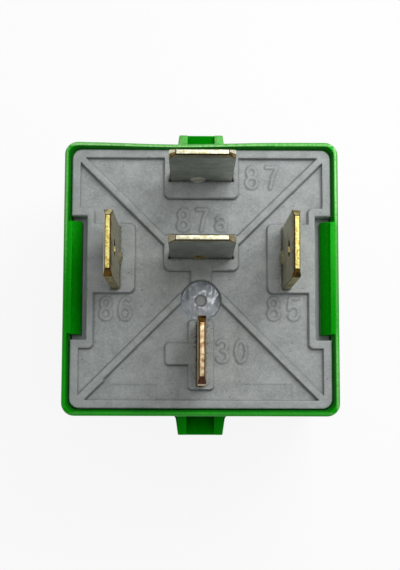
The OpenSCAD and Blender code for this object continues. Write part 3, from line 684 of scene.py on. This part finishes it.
def scuffs_and_highlights(p):
    """How scuffed the cover is, and where a highlight is painted over the scuffs: its rim's
    outer edge and lug tops, most towards +X and +Y, where the light comes from.

    The band along the rim is a bell curve of the way in from the wall's outer face; it
    comes and goes along each side by smooth steps.
    """
    x, y, z = p.T

    def side(v):
        """From 0 inside the cover to 1 along its wall on one side."""
        return smooth((v - HALF + 1.4) / 0.8)

    across, at_back = np.maximum(np.abs(x), np.abs(y)), side(y)
    inward = HALF - across - wall_sink(x) * at_back
    band = bell((inward - 0.25 - 0.03 * at_back) / (0.1 + 0.05 * at_back))
    band *= smooth((z - RIM_Z + 0.35) / 0.3) * (inward < 0.34 + 0.12 * at_back)
    off_hook = 1 - 0.7 * smooth((HOOK_HALF + 0.8 - np.abs(y)) / 0.8)
    right = side(x) * (0.6 + 0.4 * smooth((y + 11) / 14)) * off_hook
    back = at_back * (0.75 - 0.2 * smooth((x - 2) / 6))
    left = side(-x) * 0.5 * smooth((y + 2) / 8)
    rim = np.maximum.reduce([right, back, left, 0.14 * side(-y), 0.03 + 0 * x])
    on_lug = (across > HALF) & (y > 0) & (np.abs(x) > LUG_GAP - 0.07)
    return np.maximum(band * rim, 0.4 * on_lug * smooth((z - LUG_TOP + 0.1) / 0.1))


def up_slope(p):
    """How far up a hook's slope a point lies, from 0 at its tip to 1 at the rim's step; the
    hook is painted lighter as it rises, a painted light.
    """
    x, y, z = p.T
    tip = LEDGE_Z + HOOK_TIP_H
    on_hook = (np.abs(x) > NOTCH_X) & (np.abs(x) < HOOK_STEP + 0.1)
    on_hook &= np.abs(y) < HOOK_HALF + 0.05
    return on_hook * np.clip((z - tip) / (HOOK_TOP - tip), 0, 1)


def make_cover():
    """The cover as one piece: shell, hooks, steps and lugs."""
    hook, step, lug = snap_hook(), hook_step(), bracket_lug()
    shells = [cover_shell(), step, mirrored(step, 0), *lug, *[mirrored(s, 1) for s in lug],
              hook, mirrored(hook, 0)]
    piece = new_piece(shell_mesh("cover_moulding", shells),
                      [GREEN, GREEN_SHADED], "cover")
    # Scuffs and painted highlight: the rim's outer edge and the lug tops are paler.
    set_attribute(piece, "scuff_and_highlight", scuffs_and_highlights)
    # Painted light: the hooks' darker green lightens up their slopes towards the rim.
    set_attribute(piece, "slope", up_slope)
    (x, y, z), normal = faces_of(piece)
    x, y = np.abs(x), np.abs(y)
    across, inner = np.maximum(x, y), HALF - RIM_WALL
    lead_in = (across < inner + LEAD_IN + 0.005) & (across > inner - 0.3) & (z > PAD_Z - 0.5)
    lead_in &= (normal[2] < 0.75) & ((x < y) | (y > HOOK_HALF))
    hooks = (x < HOOK_STEP) & (x > NOTCH_X) & (y < HOOK_HALF + 0.1)
    hooks &= (z < HOOK_TOP + 0.05) & (z > LEDGE_Z)
    # The rim's lead-in and the hooks get the darker green, painted shade.
    paint(piece, [(GREEN_SHADED, lead_in | hooks)])


# ---------------------------------------------------------------- base

def to_box(x, y, centre, half, r=0.0):
    """Distance to a rectangle with round corners, below zero inside it."""
    dx = np.abs(x - centre[0]) - (half[0] - r)
    dy = np.abs(y - centre[1]) - (half[1] - r)
    outside = np.hypot(np.maximum(dx, 0), np.maximum(dy, 0))
    return outside + np.minimum(np.maximum(dx, dy), 0) - r


def to_corners(x, y, low, high, r=0.0):
    """Distance to a rectangle given by two corners."""
    low, high = np.array(low), np.array(high)
    return to_box(x, y, (low + high) / 2, (high - low) / 2, r)


def to_line(x, y, a, b):
    """Distance to the straight line between two points."""
    ax, ay = b[0] - a[0], b[1] - a[1]
    t = np.clip(((x - a[0]) * ax + (y - a[1]) * ay) / (ax * ax + ay * ay), 0, 1)
    return np.hypot(x - a[0] - t * ax, y - a[1] - t * ay)


def arc(cx, cy, rx, ry, start, stop, steps=14):
    """Points along part of an ellipse, angles in degrees."""
    a = np.radians(np.linspace(start, stop, steps + 1))
    return np.column_stack([cx + rx * np.cos(a), cy + ry * np.sin(a)])


# The middle lines of the figures, about 1 by 2 across.
FIGURES = {
    "8": [arc(0, 0.5, 0.41, 0.49, 0, 360), arc(0, -0.48, 0.49, 0.51, 0, 360)],
    "7": [[(-0.49, 0.99), (0.49, 0.99), (0.1, 0.1), (-0.12, -0.99)]],
    "a": [arc(-0.03, -0.6, 0.41, 0.38, 0, 360), [(0.42, -0.99), (0.42, -0.08)],
          arc(0, -0.08, 0.42, 0.4, 0, 155)],
    "6": [arc(0, -0.43, 0.49, 0.56, 0, 360), arc(0.06, -0.3, 0.55, 1.29, 58, 180)],
    "5": [[(0.42, 0.99), (-0.3, 0.99), (-0.42, 0.08)],
          arc(0.0, -0.36, 0.49, 0.63, 148, -150)],
    "3": [arc(-0.04, 0.5, 0.45, 0.49, 155, -90), arc(-0.04, -0.49, 0.5, 0.5, 90, -155)],
    "0": [arc(0, 0, 0.48, 0.99, 0, 360)],
}
# Terminal number, middle of its first figure and spacing of its figures.
NUMBERS = [("87", 5.2, 10.45, 2.05), ("87a", -1.82, 6.0, 1.93), ("86", -9.67, -3.15, 1.95),
           ("85", 7.42, -3.12, 2.0), ("30", 2.2, -7.45, 1.88)]
FIGURE_SCALE = 1.1
FIGURE_STROKE = 0.2               # half the width of a figure's stroke
FIGURE_H = 0.07
# Two shallow rectangular marks of the mould, by their corners.
MOULD_MARKS = [((-9.2, -12.28), (-4.5, -10.85)), ((4.4, -12.28), (9.2, -10.8))]
MARK_DEEP = 0.035
SLOT_DEEP = 0.12                  # how far the face sinks round the blades
PIT_DEEP = 0.25                   # how deep the pits at the ends of 87 and 87a are
FAR = 9.0                         # beyond every distance that matters here


def to_numbers(x, y):
    """Distance to the middle lines of the raised terminal numbers."""
    nearest = np.full(x.shape, FAR)
    for word, start, level, spacing in NUMBERS:
        for k, letter in enumerate(word):
            u, v = (x - start - k * spacing) / FIGURE_SCALE, (y - level) / FIGURE_SCALE
            near = (np.abs(u) < 1.2) & (np.abs(v) < 1.7)
            for line in FIGURES[letter]:
                for a, b in zip(line[:-1], line[1:]):
                    away = FIGURE_SCALE * to_line(u[near], v[near], a, b)
                    nearest[near] = np.minimum(nearest[near], away)
    return nearest


def to_blades(x, y):
    """Distance to the five blades' sections."""
    wide, thick = BLADE_W / 2, BLADE_T / 2
    return np.minimum.reduce([to_box(x, y, centre, half) for centre, half in [
        ((0, BLADE_87_Y), (wide, thick)), ((0, BLADE_87A_Y), (wide, thick)),
        ((COIL_X, COIL_Y), (thick, wide)), ((-COIL_X, COIL_Y), (thick, wide)),
        ((0, BLADE_30_Y), (thick, wide))]])


def to_outline(x, y, margin=0.0):
    """Distance to the base's outline less its side notches, drawn in by a margin."""
    half, past = BASE_HALF - margin, BASE_HALF + 4
    notch_half = ((past - NOTCH_X) / 2 + 0.85 * margin, NOTCH_HALF + margin)
    body = to_box(x, y, (0, 0), (half, half), max(BASE_R - margin, 0.15))
    notch = to_box(np.abs(x), y, ((past + NOTCH_X) / 2, 0), notch_half,
                   max(margin * 0.6, 0.01))
    return np.maximum(body, -notch)


def to_raised(x, y):
    """Distance to the ribs and pads together, below zero on them."""
    pad_x, coil_end = BLADE_W / 2 + 0.65, BLADE_W / 2 + 0.4
    low_87a = BLADE_87A_Y - 1.65
    corner = BASE_HALF - EDGE_RIB
    pads = [((-pad_x, BLADE_87_Y - 2.2), (pad_x, BASE_HALF), 0.6),
            ((-pad_x, low_87a), (pad_x, BLADE_87A_Y + 2.1), 0.6),
            ((-1.05, DIMPLE_Y), (1.05, low_87a + 0.6), 0.02),
            ((-1.27, BLADE_30_Y - 3.5), (1.27, BLADE_30_Y + 3.5), 0.35),
            ((-3.62, BLADE_30_Y - 1.0), (0, BLADE_30_Y + 1.2), 0.35)]
    ribs = [((-corner, -corner - 0.15), (-10.15, -10.35))]
    for s in (1, -1):
        inner, outer = sorted((s * (COIL_X - 1.95), s * (NOTCH_X + 0.5)))
        pads.append(((inner, COIL_Y - coil_end), (outer, COIL_Y + coil_end), 0.6))
        ribs += [((s * corner, corner), (s * 3.2, 3.3)),
                 ((s * corner, -corner), (s * 1.95, -1.94))]
    return np.minimum.reduce([-to_outline(x, y, EDGE_RIB)]
                             + [to_corners(x, y, *pad) for pad in pads]
                             + [to_line(x, y, *rib) - DIAGONAL / 2 for rib in ribs])


def base_face(x, y):
    """Height of the base's face, with its dirt and its painted shade, at each point.

    The ribs rise by a smooth step; the dimple is sunk, its bottom a low dome
    DOME_H * (1 - (r / DIMPLE_R)^2) with the gate's mark in the middle; the figures rise
    by FIGURE_H; the slots round the blades, the pits and the marks sink in. The painted
    shade, with some dirt, is a bell curve of the distance to each edge that it darkens.
    """
    edge = 0.06
    raised, figures, blades = to_raised(x, y), to_numbers(x, y), to_blades(x, y)
    z = FLOOR_Z + RIB_H * smooth((edge - raised) / (2 * edge))
    z += FIGURE_H * smooth((FIGURE_STROKE - figures) / 0.14 + 0.5)
    marks = np.minimum.reduce([to_corners(x, y, *mark, 0.1) for mark in MOULD_MARKS])
    z -= MARK_DEEP * smooth(0.5 - marks / 0.12)
    r = np.hypot(x, y - DIMPLE_Y)
    bowl = FLOOR_Z - DIMPLE_DEEP + DOME_H * (1 - (r / DIMPLE_R) ** 2)
    in_bowl = smooth((DIMPLE_R - r) / 0.12 + 0.5)
    gate = smooth((GATE_R - r) / 0.14 + 0.5)
    bowl -= gate * (0.14 - 0.08 * np.minimum(r / GATE_R, 1) ** 2)
    z = z * (1 - in_bowl) + bowl * in_bowl
    z += 0.06 * bell((r - DIMPLE_R - 0.05) / 0.08) * (z < FLOOR_Z + 0.2)
    z -= SLOT_DEEP * smooth((0.1 - blades) / 0.08)
    ends = np.minimum.reduce([np.hypot(np.abs(x) - BLADE_W / 2 - 0.05, y - blade_y + 0.35)
                              for blade_y in (BLADE_87_Y, BLADE_87A_Y)])
    pits = smooth((0.2 - ends) / 0.1)
    z -= PIT_DEEP * pits
    z += 0.012 * np.sin(x * 0.9 + 1.3) * np.cos(y * 0.7 + 0.4)
    edge_in = np.clip(-to_outline(x, y) / 0.1, 0, 1)
    z -= 0.1 * (1 - np.sqrt(1 - (1 - edge_in) ** 2))
    # Painted shade: the feet of ribs that face -Y, away from the light, are darkened most.
    sheltered = np.clip((raised - to_raised(x, y + 0.1)) / 0.1, 0, 1)
    foot = (0.3 + 0.45 * sheltered) * bell((raised - 0.07) / 0.07) * (1 - in_bowl)
    wall = bell((r - DIMPLE_R) / 0.1) * smooth((y - DIMPLE_Y + 0.5) / 2 + 0.15)
    shade_at_blades = np.exp(-np.maximum(blades - 0.05, 0) / 0.08)
    # Painted shade, with some dirt: darker at rib feet, round the dimple's upper wall and the
    # gate, at the blades' roots, in the pits and along the figures and marks.
    grime_and_shade = np.maximum.reduce([
        foot, 0.9 * wall, 0.75 * bell((r - GATE_R) / 0.1), 0.15 * gate, 0.5 * shade_at_blades, pits,
        0.34 * bell((figures - FIGURE_STROKE) / 0.11), 0.12 * bell(marks / 0.08)])
    dirt = np.exp(-np.maximum(blades - 0.1, 0) / 0.3) * np.where(y < DIMPLE_Y, 1.0, 0.45)
    return z, {"grime_and_shade": np.clip(grime_and_shade, 0, 1), "dirt": dirt}


def spaced(stops, pitch):
    """Numbers from the first stop to the last, through every stop, about a pitch apart."""
    parts = [np.linspace(a, b, max(2, int(round((b - a) / pitch)) + 1))
             for a, b in zip(stops, stops[1:])]
    return np.unique(np.round(np.concatenate(parts), 5))


def base_plate():
    """The face on a fine grid inside the outline, with its values for the materials; grid
    points by a round corner are drawn onto it."""
    pitch = 0.09
    rows = [spaced([-BASE_HALF, -notch, notch, BASE_HALF], pitch)
            for notch in (NOTCH_X, NOTCH_HALF)]
    x, y = [g.ravel() for g in np.meshgrid(*rows, indexing="ij")]
    gap = to_outline(x, y)
    kept = gap < 0.45 * pitch
    corner = BASE_HALF - BASE_R
    past_x, past_y = np.abs(x) - corner, np.abs(y) - corner
    near = kept & (gap > -0.45 * pitch) & (past_x > 0) & (past_y > 0)
    pull = BASE_R / np.maximum(np.hypot(past_x, past_y), 1e-6)
    x = np.where(near, np.sign(x) * (corner + past_x * pull), x)
    y = np.where(near, np.sign(y) * (corner + past_y * pull), y)
    z, looks = base_face(x, y)
    quads = grid_faces(len(rows[0]), len(rows[1]), closed=False)
    whole = kept[quads].sum(1)
    odd = quads[whole == 3]
    number = np.cumsum(kept) - 1
    threes = odd[kept[odd]].reshape(-1, 3)
    cells = number[quads[whole == 4]].tolist() + number[threes].tolist()
    return (np.column_stack([x, y, z])[kept], cells,
            {name: values[kept] for name, values in looks.items()})


def make_base():
    """The base as one piece: its face, its edge carried down, and the ledge plate below."""
    points, cells, looks = base_plate()
    mesh = build_mesh("base_moulding", points, cells)
    for name, values in looks.items():
        add_values(mesh, name, values)
    corner = round_loop(BASE_HALF, BASE_HALF, BASE_R)
    ledge = build_mesh("ledge", *loft([at_height(corner, SEAT_Z), at_height(corner, LEDGE_Z)]))
    shape = bmesh.new()
    shape.from_mesh(mesh)
    border = [e for e in shape.edges if e.is_boundary]
    skirt = bmesh.ops.extrude_edge_only(shape, edges=border)["geom"]
    for v in skirt:
        if isinstance(v, bmesh.types.BMVert):
            v.co.z = (LEDGE_Z - 0.2) * MM
    bmesh.ops.holes_fill(shape, edges=[e for e in shape.edges if e.is_boundary], sides=0)
    bmesh.ops.recalc_face_normals(shape, faces=shape.faces)
    shape.from_mesh(ledge)
    shape.to_mesh(mesh)
    shape.free()
    bpy.data.meshes.remove(ledge)
    piece = new_piece(mesh, [GREY, SHINE], "base", 50)
    x, y, z = faces_of(piece)[0]
    r = np.hypot(x, y - DIMPLE_Y)
    paint(piece, [(SHINE, (r < DIMPLE_R - 0.04) & (r > GATE_R + 0.1) & (z > PAD_Z - 2))])
    # Painted bounce light, stronger the deeper a point lies below the floor.
    set_attribute(piece, "pale",
                  lambda p: np.clip((FLOOR_Z - p[:, 2]) / (FLOOR_Z - LEDGE_Z), 0, 1) ** 2)


# ---------------------------------------------------------------- blades

def blade_shell(below, ease=0.07):
    """A blade about the Z axis, width along X: rounded sections up the blade.

    The half width is BLADE_W / 2 less the cut corner, the half thickness falls by the
    bevel, and the last rings draw in by a quarter round of radius ease.
    """
    hair, cut_z, bevel_z = 0.01, TIP_Z - CUT_H, TIP_Z - TIP_BEVEL
    levels = [below, PAD_Z, TIP_Z - 1.5, cut_z - hair, cut_z + hair, bevel_z - hair,
              bevel_z + hair, *np.linspace(bevel_z + 0.05, TIP_Z - ease, 6)]
    stops = [(z, 0.0) for z in levels]
    stops += [(TIP_Z - s, c) for s, c in quarter_round(ease, 4)[1:]]
    rings = []
    for z, draw in stops:
        cut = CUT_W * np.clip((z - cut_z) / CUT_H, 0, 1)
        bevel = (BLADE_T - TIP_T) / 2 * np.clip((z - bevel_z) / TIP_BEVEL, 0, 1)
        section = round_loop(BLADE_W / 2 - cut - draw, BLADE_T / 2 - bevel - draw,
                             max(ease - draw, 0.004), 4, 4)
        rings.append(at_height(section, z))
    return loft(rings)


def bump_shell(x, out):
    """The locking bump: a slice off a ball on the blade's -Y face, out high, a little
    taller than it is wide."""
    ball = (BUMP_R ** 2 + out ** 2) / (2 * out)
    slope = np.linspace(0.02, 1.0, 9) * math.asin(BUMP_R / ball)
    points, faces = turned([(ball * math.sin(a), ball * math.cos(a) - (ball - out))
                            for a in slope] + [(BUMP_R, -0.2)])
    u, v, w = points.T
    up = np.maximum(BUMP_TALL * v + BUMP_Z, 0.0)
    return np.column_stack([u + x, -w - BLADE_T / 2, PAD_Z + up]), faces


def blade_at(x, y, below, quarter=0, bump=None):
    """A blade's shells in their place: the blade itself and, where bump gives its sideways
    place and how far it stands out, its bump."""
    shells = [blade_shell(below)] + ([bump_shell(*bump)] if bump else [])
    return [placed(shell, x, y, quarter) for shell in shells]


def drill(piece, centre, radius):
    """Cuts a round hole (mm) through a piece along X, and keeps the result."""
    points, faces = turned([(radius, -2.0), (radius, 2.0)], sides=40)
    mesh = shell_mesh("drill", [(points[:, AXES["x"]] + np.asarray(centre), faces)])
    cutter = in_scene("drill", mesh)
    cut = piece.modifiers.new("hole", "BOOLEAN")
    cut.object = cutter
    cut.solver = "EXACT"
    bpy.context.view_layer.update()
    depsgraph = bpy.context.evaluated_depsgraph_get()
    done = bpy.data.meshes.new_from_object(piece.evaluated_get(depsgraph))
    piece.modifiers.remove(cut)
    piece.data = done
    bpy.data.objects.remove(cutter)
    bpy.data.meshes.remove(mesh)
    soften(done)


def make_terminal_87():
    """Blade 87, its strap and its contact arm."""
    arm_y, arm_z = LOW_87[1:]
    arm_top = arm_z + BLADE_T
    shells = blade_at(0, BLADE_87_Y, SEAT_Z + 1.7, bump=(BUMP_X_87, BUMP_OUT)) + overlapping(
        ((STRAP_IN, STRAP_Y, arm_z), (STRAP_OUT, STRAP_BACK, SEAT_Z + 2)),
        ((STRAP_IN, arm_y, arm_z), (STRAP_OUT, STRAP_BACK, arm_top)),
        ((-1.65, arm_y, arm_z), (STRAP_OUT - 0.1, STRAP_Y - 0.3, arm_top)))
    finish_blade("87", shells, 1, BLADE_87_Y, [PLATED, TINNED, CUT_87, CUT_87, CUT_87, ROLLED])


def make_terminal_87a():
    """Blade 87a, its run under the base, its strap and its contact arm."""
    arm_y, arm_z = node_box("no_contact")[0][1], LOW_87A[2]
    run_top, arm_top = SEAT_Z + BLADE_T, arm_z + BLADE_T
    shells = blade_at(0, BLADE_87A_Y, SEAT_Z, bump=(BUMP_X_87A, BUMP_OUT_87A)) + overlapping(
        ((-STRAP_OUT, BLADE_87A_Y - BLADE_T / 2, SEAT_Z), (-STRAP_IN, STRAP_BACK, run_top)),
        ((-STRAP_OUT, STRAP_Y, arm_z), (-STRAP_IN, STRAP_BACK, run_top)),
        ((-STRAP_OUT, arm_y, arm_z), (-STRAP_IN, STRAP_BACK, arm_top)),
        ((-STRAP_OUT + 0.1, arm_y, arm_z), (1.65, STRAP_Y - 0.3, arm_top)))
    finish_blade("87a", shells, 1, BLADE_87A_Y,
                 [PLATED_87A, TINNED, CUT, CUT_87A, CUT_87A, ROLLED])


def make_coil_terminal(side, number):
    """A coil blade with its detent hole and tail; side is +1 for 85 and -1 for 86."""
    x = side * COIL_X
    shells = blade_at(x, COIL_Y, SEAT_Z, 2 + side, (0.0, BUMP_OUT))
    shells += overlapping(((x - BLADE_T / 2, COIL_Y - 1, TAIL_Z),
                           (x + BLADE_T / 2, COIL_Y + 1, SEAT_Z + 0.5)))
    # The coil blade's cut corner towards -Y, away from the light, is painted shade.
    finish_blade(number, shells, 0, x, [STAINED, BRASS, CUT, CUT, SHADED_CORNER, ROLLED])


def make_terminal_30():
    """Blade 30 and its foot on the yoke."""
    foot_x = node_box("terminal_30")[1][0]
    shells = blade_at(0, BLADE_30_Y, SEAT_Z + 0.03, 1)
    shells += overlapping(((0, BLADE_30_Y - 1.95, SEAT_Z),
                           (foot_x, BLADE_30_Y + 1.95, SEAT_Z + BLADE_T)))
    # The cut corner towards -Y, away from the light, is painted shade.
    metals = [PLATED_30, COPPER_EDGE, COPPER_EDGE, CUT_30, SHADED_CORNER_30, ROLLED_30]
    finish_blade("30", shells, 0, 0.0, metals)


def finish_blade(number, shells, thin, middle, metals):
    """A terminal from its shells: hole if it is a coil blade, bare edges, bump and wear.

    thin is the axis across the blade's thickness and middle the blade's place on it;
    metals are, in this order, the plated sheet, the blade's end, its narrow sides, its
    cut corners towards + and towards - across its width, and the rolled edges between
    all of these. On 87 the back half of each cut corner shines like the end.
    """
    end, side, cut_high, cut_low, rolled = metals[1:]
    slots = list(dict.fromkeys([*metals, BUMP_HIGHLIGHT, CUT]))
    piece = new_piece(shell_mesh("blade_" + number, shells), slots, "terminal_" + number)
    if number in ("85", "86"):
        drill(piece, (middle, COIL_Y, TIP_Z - DETENT_DROP), DETENT_D / 2)
    place, normal = faces_of(piece)
    z, off, wide = place[2], place[thin] - middle, 1 - thin
    flat, lean = np.abs(normal[thin]), normal[wide]
    on_blade = (z > PAD_Z) & (np.abs(off) < BLADE_T / 2 + 0.005)
    corner = on_blade & (z > TIP_Z - CUT_H)
    # Painted shade: the rolled edges get the dark rolled metal.
    coats = [(rolled, on_blade & (z > PAD_Z + 0.3) & (flat < 0.93)),
             (side, on_blade & (np.abs(lean) > 0.93)),
             (cut_high, corner & (np.abs(lean - 0.83) < 0.06)),
             (cut_low, corner & (np.abs(lean + 0.83) < 0.06)),
             (end, on_blade & (normal[2] > 0.93))]
    if thin:
        # The bump of 87 gets paler metal, a painted highlight; the bump of 87a gets the cut
        # corners' brass.
        bump = (off < -BLADE_T / 2 - 0.012) & (np.abs(place[wide]) < 1.3)
        bump &= np.abs(z - PAD_Z - BUMP_Z) < BUMP_TALL * BUMP_R
        # Painted shade: a dark line just under the end of a cross blade.
        coats += [(rolled, on_blade & (z > TIP_Z - 0.2) & (flat > 0.93)),
                  (CUT if number == "87a" else BUMP_HIGHLIGHT, bump)]
    if number == "87":
        coats.append((end, corner & (off > 0) & (np.abs(np.abs(lean) - 0.83) < 0.06)))
    paint(piece, coats)

    def wear(p):
        """How worn the plating is: most at the blade's end, and at the corners of 87."""
        down = TIP_Z - p[:, 2]
        if not thin:
            return 0.9 * smooth((0.5 - down) / 0.3)
        worn = 0.5 * smooth((0.9 - down) / 0.3) + 0.2 * smooth((0.4 - down) / 0.2)
        if number == "87":
            corners = smooth((np.abs(p[:, wide]) - 2) / 0.8) * smooth((1.5 - down) / 0.5)
            worn = np.maximum(worn, 0.5 * corners)
        return worn

    set_attribute(piece, "worn", wear)


# ---------------------------------------------------------------- works inside

def make_winding():
    """The coil: wire turns side by side, a helical ripple on a barrel.

    The radius is R - w * (1 - sqrt(1 - s^2)), where w is half the wire and s runs from
    -1 to 1 across each turn and moves on by one turn round the barrel.
    """
    low, high = node_box("coil_winding")
    tall = high[2] - low[2]
    turns = tall / WIRE_T
    v = np.linspace(0, 1, int(turns * 6))[:, None]
    angle = around(72)
    s = 2 * ((v * turns + angle / (2 * math.pi)) % 1) - 1
    r = (high[0] - low[0]) / 2 - WIRE_T / 2 * (1 - np.sqrt(np.clip(1 - s ** 2, 0, 1)))
    rows = np.stack([r * np.cos(angle), DIMPLE_Y + r * np.sin(angle),
                     low[2] + v * tall + 0 * angle], -1)
    new_piece(shell_mesh("wound_coil", [loft(rows)]), [WIRE],
              "coil_winding", 80)


def make_lead(side, number):
    """A lead: from the winding to the tail, then a helix of three turns round it.

    The helix is a squared ring, sign(cos) * |cos|^0.45 and the same of the sine, so
    that it lies on the flat tail.
    """
    low, high = node_box("coil_lead_" + number)
    start, top = low[0] if side > 0 else -high[0], high[2] - LEAD_R
    turns = np.linspace(0, 3, 91)
    ring = np.stack([np.cos(2 * math.pi * turns), np.sin(2 * math.pi * turns)], -1)
    ring = np.sign(ring) * np.abs(ring) ** 0.45 * (BLADE_T / 2 + LEAD_R, 1.0 + LEAD_R)
    wrap = np.column_stack([(COIL_X, COIL_Y) - ring, top - turns * 0.27])
    reach = np.linspace(start + 0.1, wrap[0][0] - 0.3, 12)
    run = np.column_stack([reach, np.full(12, COIL_Y), np.full(12, top)])
    path = np.concatenate([run, wrap]) * (side, 1, 1)
    new_piece(shell_mesh("lead_" + number, [tube(path, LEAD_R, 8)]),
              [WIRE], "coil_lead_" + number, 60)


def make_solder(side, number):
    """A bead of solder round the tail: radius * sin(pi * t)^0.6 from its foot to its top."""
    low, high = node_box("solder_" + number)
    t = np.linspace(0.03, 0.97, 16)
    profile = np.column_stack([(high[0] - low[0]) / 2 * np.sin(math.pi * t) ** 0.6,
                               low[2] + (high[2] - low[2]) * t])
    bead = turned(profile, (side * COIL_X, COIL_Y))
    new_piece(shell_mesh("bead_" + number, [bead]), [TIN_LEAD],
              "solder_" + number, 60)


def make_contact_spring():
    """The spring: a flat strip carried along a leg, a quarter bend and a sloping arm.

    The middle line goes down the yoke's back, turns about the bend's centre from 180
    degrees on, and runs straight at the slope of the open armature. Each ring is the
    strip's section, a rectangle with its corners cut, square to the middle line.
    """
    low, high = node_box("contact_spring")
    tilt = math.radians(SPRING_SHUT_DEG)
    leg_y = low[1] + SPRING_T / 2
    bend_y = leg_y + SPRING_BEND_R
    arm_y = bend_y - SPRING_BEND_R * math.sin(tilt)
    tip_y = high[1] - SPRING_T / 2 * math.sin(tilt)
    arm_z = low[2] + SPRING_T / 2 * math.cos(tilt) + (tip_y - arm_y) * math.tan(tilt)
    bend_z = arm_z + SPRING_BEND_R * math.cos(tilt)
    wide_y = node_box("armature")[1][1]
    leg = np.column_stack([np.full(6, leg_y), np.linspace(high[2], bend_z, 6)])
    a = np.linspace(math.pi, 1.5 * math.pi - tilt, 14)[1:]
    bend = np.column_stack([bend_y + SPRING_BEND_R * np.cos(a),
                            bend_z + SPRING_BEND_R * np.sin(a)])
    reach = np.concatenate([np.linspace(arm_y, wide_y, 12)[1:],
                            np.linspace(wide_y + 0.02, tip_y, 5)])
    arm = np.column_stack([reach, arm_z - (reach - arm_y) * math.tan(tilt)])
    line = np.concatenate([leg, bend, arm])
    half = np.where(line[:, 0] > wide_y + 0.01, SPRING_TIP_HALF, SPRING_HALF)
    ahead = unit(np.gradient(line, axis=0))
    across, off = np.moveaxis([round_loop(h, SPRING_T / 2, SPRING_EASE, 1)
                               for h in half], -1, 0)
    strip = loft(np.stack([across, line[:, :1] - off * ahead[:, 1:],
                           line[:, 1:] + off * ahead[:, :1]], -1))
    spring = new_piece(shell_mesh("bronze_spring", [strip]), [BRONZE],
                       "contact_spring", body=None)
    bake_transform(spring)


def dress_cad_nodes():
    """Gives the CAD nodes that stay their materials."""
    finishes = {
        "yoke": IRON, "core": IRON, "armature": IRON, "bobbin": BOBBIN,
        "moving_contact": SILVER, "no_contact": SILVER, "nc_contact": SILVER,
        "yoke_rivets": RIVET, "armature_rivets": RIVET, "terminal_rivet": RIVET,
    }
    for name, material in finishes.items():
        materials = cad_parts[name].data.materials
        materials.clear()
        materials.append(material)


# ---------------------------------------------------------------- camera and light

def make_camera():
    """The camera above the blades, a few degrees off their axis."""
    data = bpy.data.cameras.new("camera")
    data.sensor_width = 36.0
    data.lens = 69.0
    data.clip_start = 0.005
    camera = in_scene("camera", data)
    camera.location = np.array([-1.11, -12.81, PAD_Z + 110.4]) * MM
    camera.rotation_euler = [math.radians(a) for a in (6.23, -0.54, 0.17)]
    bpy.context.scene.camera = camera


WINDOW_SIDE = (0.44, 0.52, 0.73)  # where the light mostly comes from


def make_light():
    """White walls round a dimmer ceiling that is brighter on the window's side, a broad
    soft lamp on that side and a small one overhead."""
    scene = bpy.context.scene
    scene.view_settings.view_transform = "Standard"
    world = bpy.data.worlds.new("surround")
    scene.world = world
    world.use_nodes = True
    tree = world.node_tree
    way = add(tree, "TexCoord", {}, "Generated")
    lean = add(tree, "VectorMath", {0: way, 1: WINDOW_SIDE}, "Value", operation="DOT_PRODUCT")
    ceiling = add(tree, "MapRange", {0: lean, 1: -0.15, 2: 0.95, 3: 0.2, 4: 0.65})
    height = add(tree, "SeparateXYZ", {0: way}, "Z")
    wall = add(tree, "MapRange", {0: height, 1: 0.32, 2: 0.24})
    back = tree.nodes["Background"]
    back.inputs["Color"].default_value = linear("#ffffff")
    tree.links.new(add(tree, "Mix", {0: wall, 2: ceiling, 3: 1.0}), back.inputs["Strength"])
    make_lamp("window_lamp", WINDOW_SIDE, 0.08, 0.07, 0.043)
    make_lamp("overhead_lamp", (0.08, 0.2, 0.97), 0.15, 0.06, 0.019)


def make_lamp(name, side, away, size, power):
    """A round soft lamp on one side of the blades, facing them; metres and watts."""
    lamp = bpy.data.lights.new(name, "AREA")
    lamp.shape = "DISK"
    lamp.size = size
    lamp.energy = power
    holder = in_scene(name, lamp)
    holder.visible_camera = False
    aim = Vector((0, 0, PAD_Z * MM))
    holder.location = aim + Vector(side).normalized() * away
    holder.rotation_mode = "QUATERNION"
    holder.rotation_quaternion = (aim - holder.location).to_track_quat("-Z", "Y")


def make_floor():
    """A plain pale floor just under the closed end. It keeps the relay's shadow and is
    near white to the camera, in gloss and through what is clear."""
    size, gap = 3000, -0.02
    mesh = build_mesh("floor", [(-size, -size, gap), (size, -size, gap), (size, size, gap),
                                (-size, size, gap)], [(0, 1, 2, 3)])
    made, tree = start_material("pale_floor", {"Base Color": linear("#f2f2f2"),
                                               "Roughness": 0.9})
    seen = add(tree, "LightPath", {}, "Is Camera Ray")
    for ray in ("Is Glossy Ray", "Is Transmission Ray"):
        seen = add(tree, "Math", {0: seen, 1: add(tree, "LightPath", {}, ray)},
                   operation="MAXIMUM")
    share = add(tree, "Math", {0: seen, 1: 0.88}, operation="MULTIPLY")
    glow = add(tree, "Emission", {"Color": "#ffffff", "Strength": 1.0})
    matt = tree.nodes["Principled BSDF"].outputs[0]
    both = add(tree, "MixShader", {0: share, 1: matt, 2: glow})
    tree.links.new(both, tree.nodes["Material Output"].inputs["Surface"])
    mesh.materials.append(made)
    in_scene("floor", mesh)


make_camera()
make_light()
make_floor()
make_cover()
make_base()
make_terminal_87()
make_terminal_87a()
make_coil_terminal(1, "85")
make_coil_terminal(-1, "86")
make_terminal_30()
make_winding()
for lead_side, lead_number in ((1, "85"), (-1, "86")):
    make_lead(lead_side, lead_number)
    make_solder(lead_side, lead_number)
make_contact_spring()
dress_cad_nodes()
